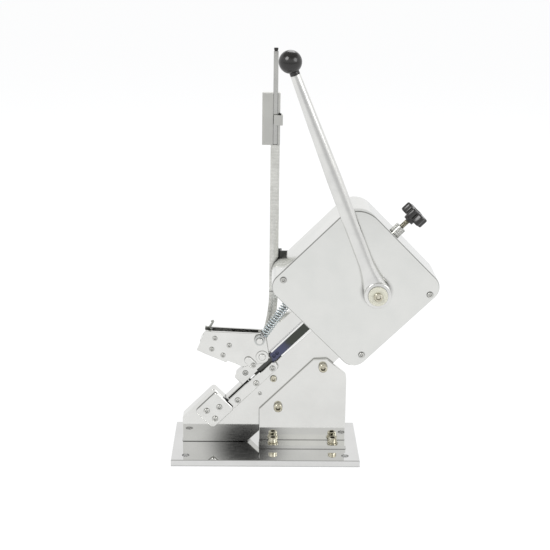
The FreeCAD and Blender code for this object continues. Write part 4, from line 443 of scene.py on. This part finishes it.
# %% Round-wire spring on the sprung rod
WIRE = 1.6 * MM
WIRE_SIDES = 12
COIL_WIDE = 13.4 * MM
COIL_LONG = 70 * MM
COIL_TURNS = 16
STEPS_A_TURN = 28
ROD_SLOPE = RAM_SLOPE + math.radians(10.5)
rod_line = Vector((math.cos(ROD_SLOPE), 0, math.sin(ROD_SLOPE)))
climb = COIL_LONG - WIRE
steps = COIL_TURNS * STEPS_A_TURN
bm = bmesh.new()
ring = bmesh.ops.create_circle(bm, segments=WIRE_SIDES, radius=WIRE / 2)["verts"]
bmesh.ops.rotate(bm, verts=ring, matrix=Matrix.Rotation(math.radians(90), 3, "X"))
bmesh.ops.translate(bm, verts=ring, vec=((COIL_WIDE - WIRE) / 2, 0, -climb / 2))
bmesh.ops.spin(bm, geom=bm.verts[:] + bm.edges[:], cent=(0, 0, 0), axis=(0, 0, 1),
               dvec=(0, 0, climb / steps), angle=math.tau * COIL_TURNS, steps=steps)
bmesh.ops.holes_fill(bm, edges=[edge for edge in bm.edges if edge.is_boundary])
coil_place = axis_matrix(middle_of("gate_spring"), rod_line, AHEAD)
bmesh.ops.transform(bm, verts=bm.verts, matrix=coil_place)
add_piece("gate_spring_coil", bm, spring_zinc, "gate_rod", ["gate_spring"])

# %% [markdown]
# The adjusting screw turns about an axis along the ram. Its thread is a small ridge spun round a
# core, like the spring. The ridge is narrow at its crest, and its foot sinks a little into the
# core.

# %% Threaded adjusting screw
THREAD_PITCH = 1.25 * MM
THREAD_DEEP = 0.7 * MM
FOOT_SHARE, CREST_SHARE = 0.45, 0.06
FOOT_SUNK = 1.1
low, high = (Vector(corner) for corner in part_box("adjusting_screw"))
screw_wide = (high - low).y
screw_long = ((high - low).x - screw_wide * math.sin(RAM_SLOPE)) / math.cos(RAM_SLOPE)
screw_place = axis_matrix(middle_of("adjusting_screw"), ALONG, AHEAD)
bm = bmesh.new()
bmesh.ops.create_cone(bm, cap_ends=True, segments=32, radius1=screw_wide / 2 - THREAD_DEEP,
                      radius2=screw_wide / 2 - THREAD_DEEP, depth=screw_long)
turns = int(screw_long / THREAD_PITCH) - 1
thread_climb = turns * THREAD_PITCH
inner, outer = screw_wide / 2 - THREAD_DEEP * FOOT_SUNK, screw_wide / 2
ridge = [bm.verts.new((r, 0, z * THREAD_PITCH - thread_climb / 2)) for r, z in (
    (inner, -FOOT_SHARE), (outer, -CREST_SHARE), (outer, CREST_SHARE), (inner, FOOT_SHARE))]
ridge_face = bm.faces.new(ridge)
bmesh.ops.spin(bm, geom=[ridge_face], cent=(0, 0, 0), axis=(0, 0, 1),
               dvec=(0, 0, thread_climb / (turns * STEPS_A_TURN)), angle=math.tau * turns,
               steps=turns * STEPS_A_TURN)
bmesh.ops.transform(bm, verts=bm.verts, matrix=screw_place)
add_piece("adjusting_screw_thread", bm, yellow_zinc, "adjuster",
          ["adjusting_screw"])

# %% [markdown]
# The star knob sits on the screw's upper end. It starts as a circle whose radius dips six times,
# is raised to its thickness and has its rims rounded. Two insets press a shallow disc into its
# cap, and a short cone makes the neck.

# %% Star knob with rounded lobes
KNOB_LOBES = 6
KNOB_THICK = 15 * MM
KNOB_WIDE = 40 * MM
KNOB_ROUND = 2.2 * MM
KNOB_START = 392 * MM
LOBE_DEPTH = 5.6 * MM
LOBE_SHARPNESS = 1.3
CAP_RIM = 4.5 * MM
CAP_STEP = 0.8 * MM
NECK_LONG = 5 * MM
NECK_WIDE = 17 * MM
NECK_TAPER = 0.8 * MM
NECK_SUNK = 1 * MM
screw_line = middle_of("adjusting_screw")
knob_foot = screw_line + ALONG * (CHANNEL_FOOT + ALONG * KNOB_START - screw_line).dot(ALONG)
bm = bmesh.new()
rim = bmesh.ops.create_circle(bm, cap_ends=True, segments=120, radius=KNOB_WIDE / 2)["verts"]
for vert in rim:
    turn = math.atan2(vert.co.y, vert.co.x)
    dip = LOBE_DEPTH * (0.5 + 0.5 * math.cos(KNOB_LOBES * turn)) ** LOBE_SHARPNESS
    vert.co *= 1 - dip / (KNOB_WIDE / 2)
top = bmesh.ops.extrude_face_region(bm, geom=bm.faces[:])["geom"]
bmesh.ops.translate(bm, verts=[part for part in top if isinstance(part, bmesh.types.BMVert)],
                    vec=(0, 0, KNOB_THICK))
rims = [edge for edge in bm.edges if abs(edge.verts[0].co.z - edge.verts[1].co.z) < 1e-7]
bmesh.ops.bevel(bm, geom=rims, offset=KNOB_ROUND, segments=4, profile=0.5, affect="EDGES",
                material=-1)
cap = max(bm.faces, key=lambda face: (round(face.calc_center_median().z, 6), face.calc_area()))
bmesh.ops.inset_individual(bm, faces=[cap], thickness=CAP_RIM, depth=0)
bmesh.ops.inset_individual(bm, faces=[cap], thickness=CAP_STEP, depth=-CAP_STEP)
bmesh.ops.create_cone(bm, cap_ends=True, segments=48, radius1=NECK_WIDE / 2 - NECK_TAPER,
                      radius2=NECK_WIDE / 2, depth=NECK_LONG + NECK_SUNK,
                      matrix=Matrix.Translation((0, 0, NECK_SUNK / 2 - NECK_LONG / 2)))
bmesh.ops.transform(bm, verts=bm.verts, matrix=axis_matrix(knob_foot, ALONG, AHEAD))
add_piece("star_knob_moulding", bm, black_moulding, "adjuster", ["star_knob"])

# %% [markdown]
# The lever is one forging: a round eye on the drive shaft, a flare, and an oval rod that thins
# towards the ball. The outline of a small rounded section, spun once round the shaft's axis,
# makes the eye. The flare and the rod are a row of oval rings, each with its own width and
# thickness, joined by bridge loops.

# %% Size and direction of the lever
LEVER_LEAN = math.radians(21.5)
LEVER_REACH = 355.9 * MM
LEVER_OUT = 6.5 * MM
EYE_RADIUS = 19.5 * MM
EYE_BORE = 10 * MM
EYE_BACK = 40 * MM
EYE_THICK = 18 * MM
EYE_ROUND = 1.6 * MM
EYE_STEPS = 96
ROD_AHEAD = 48.5 * MM
FLARE_THICK = 8.2 * MM
FLARE_START = 4.1 * MM
FLARE_END = 54 * MM
FLARE_SHARE = 0.973
FLARE_SHARPNESS = 1.8
ROD_FAT, ROD_KNEE, ROD_THIN = 9.0 * MM, 7.0 * MM, 6.0 * MM
ROD_BROAD, ROD_NARROW = 11.0 * MM, 6.8 * MM
KNEE_PLACE = 180 * MM
ROD_END = 345 * MM
FLARE_RINGS, ROD_RINGS = 12, 16
RING_POINTS = 40
shaft_line = middle_of("drive_shaft")
lean = Vector((-math.sin(LEVER_LEAN), 0, math.cos(LEVER_LEAN)))
rod_way = (lean * LEVER_REACH + AHEAD * LEVER_OUT).normalized()
rod_side = Vector((math.cos(LEVER_LEAN), 0, math.sin(LEVER_LEAN)))
rod_front = rod_side.cross(rod_way)
rod_foot = Vector((shaft_line.x, -ROD_AHEAD, shaft_line.z))


# %% Rings of the lever
def rod_section(place):
    """Half of the rod's width and half of its thickness at a distance from the shaft."""
    if place < KNEE_PLACE:
        return ROD_BROAD, ROD_FAT + (ROD_KNEE - ROD_FAT) * place / KNEE_PLACE
    share = (place - KNEE_PLACE) / (ROD_END - KNEE_PLACE)
    return ROD_BROAD + (ROD_NARROW - ROD_BROAD) * share, ROD_KNEE + (ROD_THIN - ROD_KNEE) * share


def lever_ring(bm, place):
    """One oval ring of the flare or the rod."""
    wide, thick = rod_section(place)
    if place < FLARE_END:
        left = ((FLARE_END - place) / (FLARE_END - FLARE_START)) ** FLARE_SHARPNESS
        wide += (EYE_RADIUS * FLARE_SHARE - wide) * left
        thick += (FLARE_THICK - thick) * left
    verts = []
    for point in range(RING_POINTS):
        turn = math.tau * point / RING_POINTS
        verts.append(bm.verts.new(
            rod_foot + rod_way * place + rod_side * (wide * math.cos(turn))
            + rod_front * (thick * math.sin(turn))))
    return [bm.edges.new((a, b)) for a, b in zip(verts, verts[1:] + verts[:1])]


# %% Forged lever
bm = bmesh.new()
eye_section = bmesh.ops.create_grid(bm, x_segments=1, y_segments=1, size=0.5)["verts"]
for vert in eye_section:
    vert.co = Vector((EYE_BORE + (vert.co.x + 0.5) * (EYE_RADIUS - EYE_BORE), 0,
                      (vert.co.y + 0.5) * EYE_THICK))
outer_corners = [vert for vert in eye_section if vert.co.x > EYE_RADIUS - EYE_ROUND]
bmesh.ops.bevel(bm, geom=outer_corners, offset=EYE_ROUND, segments=5, profile=0.5,
                affect="VERTICES", material=-1)
bmesh.ops.delete(bm, geom=bm.faces[:], context="FACES_ONLY")
bmesh.ops.spin(bm, geom=bm.verts[:] + bm.edges[:], cent=(0, 0, 0), axis=(0, 0, 1),
               angle=math.tau, steps=EYE_STEPS, use_merge=True)
eye_place = axis_matrix(Vector((shaft_line.x, -EYE_BACK, shaft_line.z)), AHEAD, rod_side)
bmesh.ops.transform(bm, verts=bm.verts[:], matrix=eye_place)
ring_places = [FLARE_START + (FLARE_END - FLARE_START) * step / FLARE_RINGS
               for step in range(FLARE_RINGS + 1)]
ring_places += [FLARE_END + (ROD_END - FLARE_END) * step / ROD_RINGS
                for step in range(1, ROD_RINGS + 1)]
rings = [lever_ring(bm, place) for place in ring_places]
for first, following in zip(rings, rings[1:]):
    bmesh.ops.bridge_loops(bm, edges=first + following)
bmesh.ops.holes_fill(bm, edges=rings[0] + rings[-1])
add_piece("lever_forging", bm, forged_chrome, "lever", ["lever_arm"])

# %% [markdown]
# The rail ends in a small plug of black plastic, a block narrower at its foot, with its edges
# rounded.

# %% Plug on the rail's top
PLUG_WIDE, PLUG_DEEP, PLUG_TALL = 6.6 * MM, 5.0 * MM, 5.0 * MM
PLUG_FOOT_SHARE = 0.82
PLUG_ROUND = 1.2 * MM
plug_low, plug_high = (Vector(corner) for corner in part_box("rail_top_stop"))
bm = bmesh.new()
block = bmesh.ops.create_cube(bm, size=1)["verts"]
for vert in block:
    narrow = PLUG_FOOT_SHARE if vert.co.z < 0 else 1.0
    vert.co = Vector((vert.co.x * PLUG_WIDE * narrow, vert.co.y * PLUG_DEEP * narrow,
                      vert.co.z * PLUG_TALL))
bmesh.ops.bevel(bm, geom=bm.edges[:], offset=PLUG_ROUND, segments=3, profile=0.5,
                affect="EDGES", material=-1)
plug_middle = Vector(((plug_low.x + plug_high.x) / 2, (plug_low.y + plug_high.y) / 2,
                      plug_low.z + PLUG_TALL / 2))
bmesh.ops.translate(bm, verts=bm.verts[:], vec=plug_middle)
add_piece("rail_end_plug", bm, black_moulding, "frame", ["rail_top_stop"])

# %% [markdown]
# The ram's channel has a raised lip along each side. Each lip is a low ridge, whose outline is
# drawn at its two ends and bridged. The lower lip grows wider towards the housing. The foot of a
# lip sinks a little into the plate, so that no gap shows.

# %% Lips of the ram's channel
PLATE_FACE = 4.0 * MM
LIP_TOP = 174 * MM
LIP_TALL = 0.9 * MM
LIP_INNER_STEP = 0.15 * MM
LIP_STEEP_SIDE = 0.4 * MM
LIP_SUNK = 0.1 * MM


def channel_place(along, across, ahead):
    """A place measured along the ram, across it and ahead of the plates' middle."""
    return CHANNEL_FOOT + ALONG * along + ACROSS * across + AHEAD * ahead


def add_lip(bm, low_end, inner, low_outer, high_outer):
    """One ridge with its steep side away from the ram."""
    ends = []
    for along, outer in ((low_end, low_outer), (LIP_TOP, high_outer)):
        ridge = outer - math.copysign(LIP_STEEP_SIDE, outer)
        outline = ((inner, -LIP_SUNK), (inner, LIP_INNER_STEP), (ridge, LIP_TALL),
                   (outer, -LIP_SUNK))
        ring = [bm.verts.new(channel_place(along, across, PLATE_FACE + rise))
                for across, rise in outline]
        ends.append([bm.edges.new((a, b)) for a, b in zip(ring, ring[1:] + ring[:1])])
    bmesh.ops.bridge_loops(bm, edges=ends[0] + ends[1])
    bmesh.ops.holes_fill(bm, edges=ends[0] + ends[1])


bm = bmesh.new()
add_lip(bm, low_end=103 * MM, inner=6.5 * MM, low_outer=9.4 * MM, high_outer=9.6 * MM)
add_lip(bm, low_end=110 * MM, inner=-6.5 * MM, low_outer=-8.6 * MM, high_outer=-11.0 * MM)
# The lips are real ridges; their almost white chrome is a painted highlight beside the ram.
add_piece("channel_lips", bm, white_highlight_chrome, "frame")

# %% [markdown]
# The clips ride astride the rail like a stack of staples. The rail's middle line is straight, then
# a cubic curve that bends forward and twists by 45 degrees into the frame plate, the same curve
# that CAD used. The loop below walks down that line and sets one clip at every pitch.

# %% Path of the clips down the rail
CLIP_PITCH = 2.2 * MM
CLIP_TOP = 460 * MM
BEND_DOWN, BEND_IN = 78 * MM, 28 * MM
WALK_STEPS = 2000
rail_top_point = Vector((10.8, 54, 235)) * MM
rail_end_point = Vector((-23.384, 24, 114.516)) * MM
bend = [rail_top_point, rail_top_point - Vector((0, 0, BEND_DOWN)),
        rail_end_point + Vector((0, BEND_IN, 0)), rail_end_point]


def bend_frame(share):
    """Place, direction down the rail, side and front at a share of the bend."""
    a, b, c, d = bend
    rest = 1 - share
    spot = (a * rest ** 3 + b * (3 * share * rest ** 2) + c * (3 * share ** 2 * rest)
            + d * share ** 3)
    slope = (b - a) * rest ** 2 + (c - b) * (2 * share * rest) + (d - c) * share ** 2
    slope.normalize()
    twist = -RAM_SLOPE * (3 * share ** 2 - 2 * share ** 3)
    side = Vector((math.cos(twist), 0, math.sin(twist)))
    side = (side - slope * side.dot(slope)).normalized()
    return spot, slope, side, slope.cross(side)


def clip_frames():
    """One frame for every clip, from the weight down to the frame plate's back."""
    down_rail, side, front = Vector((0, 0, -1)), Vector((1, 0, 0)), Vector((0, -1, 0))
    height = CLIP_TOP - CLIP_PITCH / 2
    while height > rail_top_point.z:
        yield Vector((rail_top_point.x, rail_top_point.y, height)), down_rail, side, front
        height -= CLIP_PITCH
    walked, last = rail_top_point.z - height, rail_top_point
    for step in range(1, WALK_STEPS + 1):
        spot, slope, side, front = bend_frame(step / WALK_STEPS)
        walked += (spot - last).length
        last = spot
        if walked >= CLIP_PITCH:
            walked -= CLIP_PITCH
            yield spot, slope, side, front


# %% [markdown]
# One clip is a U of flat wire: its outline is raised to its thickness, and its outer edges are
# rounded a little. That mesh is then copied to every place on the path.

# %% Single clips on the rail
CLIP_TALL = 2.12 * MM
CLIP_WIDE = 13.3 * MM
CLIP_BACK = -2.0 * MM
CLIP_FRONT = 4.6 * MM
CLIP_WIRE = 2.6 * MM
CLIP_ROUND = 0.12 * MM
half = CLIP_WIDE / 2
leg = half - CLIP_WIRE
clip_outline = [(-half, CLIP_BACK), (-half, CLIP_FRONT), (half, CLIP_FRONT), (half, CLIP_BACK),
                (leg, CLIP_BACK), (leg, CLIP_FRONT - CLIP_WIRE), (-leg, CLIP_FRONT - CLIP_WIRE),
                (-leg, CLIP_BACK)]
one_clip = bmesh.new()
one_clip.faces.new([one_clip.verts.new((x, y, -CLIP_TALL / 2)) for x, y in clip_outline])
raised = bmesh.ops.extrude_face_region(one_clip, geom=one_clip.faces[:])["geom"]
bmesh.ops.translate(one_clip, vec=(0, 0, CLIP_TALL),
                    verts=[part for part in raised if isinstance(part, bmesh.types.BMVert)])
outer_rims = [edge for edge in one_clip.edges if all(
    abs(abs(v.co.x) - half) < 1e-6 or abs(v.co.y - CLIP_FRONT) < 1e-6 for v in edge.verts)]
bmesh.ops.bevel(one_clip, geom=outer_rims, offset=CLIP_ROUND, segments=2, profile=0.5,
                affect="EDGES", material=-1)
clip_mesh = bpy.data.meshes.new("one_clip")
one_clip.to_mesh(clip_mesh)
one_clip.free()
bm = bmesh.new()
count = 0
for spot, slope, side, front in clip_frames():
    before = len(bm.verts)
    bm.from_mesh(clip_mesh)
    bm.verts.ensure_lookup_table()
    clip_place = Matrix((side, front, side.cross(front))).transposed().to_4x4()
    bmesh.ops.transform(bm, verts=bm.verts[before:],
                        matrix=Matrix.Translation(spot) @ clip_place)
    count += 1
bpy.data.meshes.remove(clip_mesh)
add_piece("clips_on_rail", bm, clip_wire, "frame", ["clip_stack"])
print("clips:", count)

# %% [markdown]
# A thin leaf spring bows out from the left end of the jaw block, where it holds the latch finger.
# Its curve is an arc through its two ends, with a bulge of 3.4 mm. From the ends and the bulge
# come the arc's radius and its centre, and a thin bar is spun about that centre.

# %% Leaf spring beside the latch finger
LEAF_THICK = 0.8 * MM
LEAF_WIDE = 5 * MM
LEAF_BULGE = 3.4 * MM
LEAF_STEPS = 18
leaf_top, leaf_low = Vector((-89.9, -5.0, 189.0)) * MM, Vector((-97.0, -5.0, 166.0)) * MM
chord = leaf_low - leaf_top
radius = (chord.length ** 2 / 4 + LEAF_BULGE ** 2) / (2 * LEAF_BULGE)
inward = Vector((-chord.z, 0, chord.x)).normalized()
centre = (leaf_top + leaf_low) / 2 + inward * (radius - LEAF_BULGE)
spread = 2 * math.asin(chord.length / 2 / radius)
outward = (leaf_top - centre).normalized()
bm = bmesh.new()
section = [leaf_top + outward * rise + Vector((0, side, 0)) for rise, side in (
    (0, -LEAF_WIDE / 2), (LEAF_THICK, -LEAF_WIDE / 2), (LEAF_THICK, LEAF_WIDE / 2),
    (0, LEAF_WIDE / 2))]
bm.faces.new([bm.verts.new(point) for point in section])
turn_way = 1 if (leaf_top - centre).cross(leaf_low - centre).y > 0 else -1
bmesh.ops.spin(bm, geom=bm.faces[:], cent=centre, axis=(0, turn_way, 0), angle=spread,
               steps=LEAF_STEPS)
add_piece("finger_leaf_spring", bm, bright_chrome, "gate_arm")

# %% [markdown]
# The studio is a wide pale floor under an even white sky. Polished metal shows whatever stands
# round it. Where the base plate and the frame plate meet they mirror each other, and there the
# metal looks straight back past the viewer and shows a small dark spot, which is the camera on
# its stand. Overhead the white is a little greyer, which keeps bevelled edges from vanishing.

# %% Studio sky
STAND_WAY = Vector((-0.008, -0.907, 0.42)).normalized()
STAND_CORE, STAND_EDGE = 0.012, 0.039
CEILING_START, CEILING_END = 0.46, 0.7
SKY_LIGHT = 0.62
world = bpy.data.worlds.new("studio_sky")
bpy.context.scene.world = world
world.use_nodes = True
tree = world.node_tree
tree.nodes.clear()
output = add_node(tree, "ShaderNodeOutputWorld")
direction = add_node(tree, "ShaderNodeTexCoord").outputs["Generated"]
off_stand = add_node(tree, "ShaderNodeVectorMath", {"operation": "DISTANCE"}, {
    0: direction, 1: tuple(STAND_WAY)})
stand = add_node(tree, "ShaderNodeMapRange", {"interpolation_type": "SMOOTHSTEP"}, {
    "Value": off_stand.outputs["Value"], "From Min": STAND_CORE, "From Max": STAND_EDGE,
    "To Min": 1.0, "To Max": 0.0})
axes = add_node(tree, "ShaderNodeSeparateXYZ", None, {"Vector": direction})
overhead = add_node(tree, "ShaderNodeMapRange", {"interpolation_type": "SMOOTHSTEP"}, {
    "Value": axes.outputs["Z"], "From Min": CEILING_START, "From Max": CEILING_END,
    "To Min": 0.0, "To Max": 1.0})
ceiling = add_node(tree, "ShaderNodeMix", {"data_type": "RGBA"}, {
    "Factor": overhead.outputs["Result"], MIX_FIRST: linear("FFFFFF"),
    MIX_SECOND: linear("B4B4B2")})
sky_colour = add_node(tree, "ShaderNodeMix", {"data_type": "RGBA"}, {
    "Factor": stand.outputs["Result"], MIX_FIRST: ceiling.outputs[MIX_RESULT],
    MIX_SECOND: linear("0C0C0D")})
light_path = add_node(tree, "ShaderNodeLightPath")
for_light = add_node(tree, "ShaderNodeBackground", None, {
    "Color": linear("F4F6FA"), "Strength": SKY_LIGHT})
for_gloss = add_node(tree, "ShaderNodeBackground", None, {
    "Color": sky_colour.outputs[MIX_RESULT], "Strength": 1.0})
for_camera = add_node(tree, "ShaderNodeBackground", None, {
    "Color": linear("FFFFFF"), "Strength": 1.0})
mirrored = add_node(tree, "ShaderNodeMath", {"operation": "MAXIMUM"}, {
    0: light_path.outputs["Is Glossy Ray"], 1: light_path.outputs["Is Transmission Ray"]})
unseen = add_node(tree, "ShaderNodeMixShader", None, {
    0: mirrored.outputs["Value"], 1: for_light.outputs["Background"],
    2: for_gloss.outputs["Background"]})
whole = add_node(tree, "ShaderNodeMixShader", None, {
    0: light_path.outputs["Is Camera Ray"], 1: unseen.outputs["Shader"],
    2: for_camera.outputs["Background"]})
tree.links.new(whole.outputs["Shader"], output.inputs["Surface"])

# %% [markdown]
# The floor is white paper. Seen by the camera or in a mirror it is mostly its own white, and the
# rest is lit like any surface, so it still takes the machine's soft shadow. In mirrors the paper
# far in front, past the lamps, is greyer, and the lever shows that as a grey line down its middle.
# The paper's fibre is drawn about a millimetre wide, coarser than it is, so that it can show.

# %% Floor
FLOOR_RADIUS = 30.0
OWN_WHITE_SHARE = 0.8
CAMERA_GLOW = 0.09
FIBRES_A_METRE = 900.0
FAR_START, FAR_END = -1.35, -2.1
FAR_GREY = 0.4
floor_mesh = bpy.data.meshes.new("studio_floor")
bm = bmesh.new()
bmesh.ops.create_circle(bm, cap_ends=True, segments=64, radius=FLOOR_RADIUS)
bm.to_mesh(floor_mesh)
bm.free()
floor = bpy.data.objects.new("studio_floor", floor_mesh)
bpy.context.scene.collection.objects.link(floor)
paper, tree, output, place = new_finish("white_studio_paper")
light_path = add_node(tree, "ShaderNodeLightPath")
seen = add_node(tree, "ShaderNodeMath", {"operation": "MAXIMUM"}, {
    0: light_path.outputs["Is Camera Ray"], 1: light_path.outputs["Is Glossy Ray"]})
seen = add_node(tree, "ShaderNodeMath", {"operation": "MAXIMUM"}, {
    0: seen.outputs["Value"], 1: light_path.outputs["Is Transmission Ray"]})
share = add_node(tree, "ShaderNodeMath", {"operation": "MULTIPLY"}, {
    0: seen.outputs["Value"], 1: OWN_WHITE_SHARE})
fibre = add_node(tree, "ShaderNodeTexNoise", None, {
    "Vector": place, "Scale": FIBRES_A_METRE, "Detail": 2.0})
tone = add_node(tree, "ShaderNodeMapRange", None, {
    "Value": fibre.outputs["Fac"], "To Min": 0.9, "To Max": 0.94})
lit = add_node(tree, "ShaderNodeBsdfDiffuse", None, {"Color": tone.outputs["Result"]})
glow = add_node(tree, "ShaderNodeMath", {"operation": "MULTIPLY_ADD"}, {
    0: light_path.outputs["Is Camera Ray"], 1: CAMERA_GLOW, 2: 1.0})
spot = add_node(tree, "ShaderNodeSeparateXYZ", None, {"Vector": place})
far_tone = add_node(tree, "ShaderNodeMath", {"operation": "MULTIPLY_ADD"}, {
    0: light_path.outputs["Is Glossy Ray"], 1: -FAR_GREY, 2: 1.0})
ahead = add_node(tree, "ShaderNodeMapRange", None, {
    "Value": spot.outputs["Y"], "From Min": FAR_END, "From Max": FAR_START,
    "To Min": far_tone.outputs["Value"], "To Max": 1.0})
strength = add_node(tree, "ShaderNodeMath", {"operation": "MULTIPLY"}, {
    0: glow.outputs["Value"], 1: ahead.outputs["Result"]})
own_white = add_node(tree, "ShaderNodeEmission", None, {
    "Color": linear("FFFFFF"), "Strength": strength.outputs["Value"]})
whole = add_node(tree, "ShaderNodeMixShader", None, {
    0: share.outputs["Value"], 1: lit.outputs["BSDF"], 2: own_white.outputs["Emission"]})
tree.links.new(whole.outputs["Shader"], output.inputs["Surface"])
floor.data.materials.append(paper)
floor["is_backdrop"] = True

# %% [markdown]
# Three large soft lamps give the light its direction: the main one from above and the left, a
# weaker one from the right, and one overhead behind, which draws the pale edges.

# %% Lamps
LAMP_WIDE = 1.6


def soft_lamp(name, place, target, power):
    """A round lamp at a place, in metres, turned towards a target, with its power in watts."""
    data = bpy.data.lights.new(name, "AREA")
    data.shape, data.size, data.energy = "DISK", LAMP_WIDE, power
    lamp = bpy.data.objects.new(name, data)
    lamp.location = place
    lamp.rotation_euler = (Vector(target) - Vector(place)).to_track_quat("-Z", "Y").to_euler()
    bpy.context.scene.collection.objects.link(lamp)


soft_lamp("main_lamp", (-1.6, -1.8, 2.4), (0, 0, 0.25), 38)
soft_lamp("right_lamp", (2.0, -1.5, 1.6), (0, 0, 0.25), 18)
soft_lamp("back_lamp", (0.3, 1.6, 2.4), (0, 0, 0.3), 22)
bpy.context.scene.view_settings.view_transform = "Standard"
print("lamps:", len(bpy.data.lights))

# %% [markdown]
# Last, the size of the dressed machine is measured and printed.

# %% Sizes and end
visual_box = [list(corner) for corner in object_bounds()]
print("visual box in metres:", [[round(v, 4) for v in corner] for corner in visual_box])
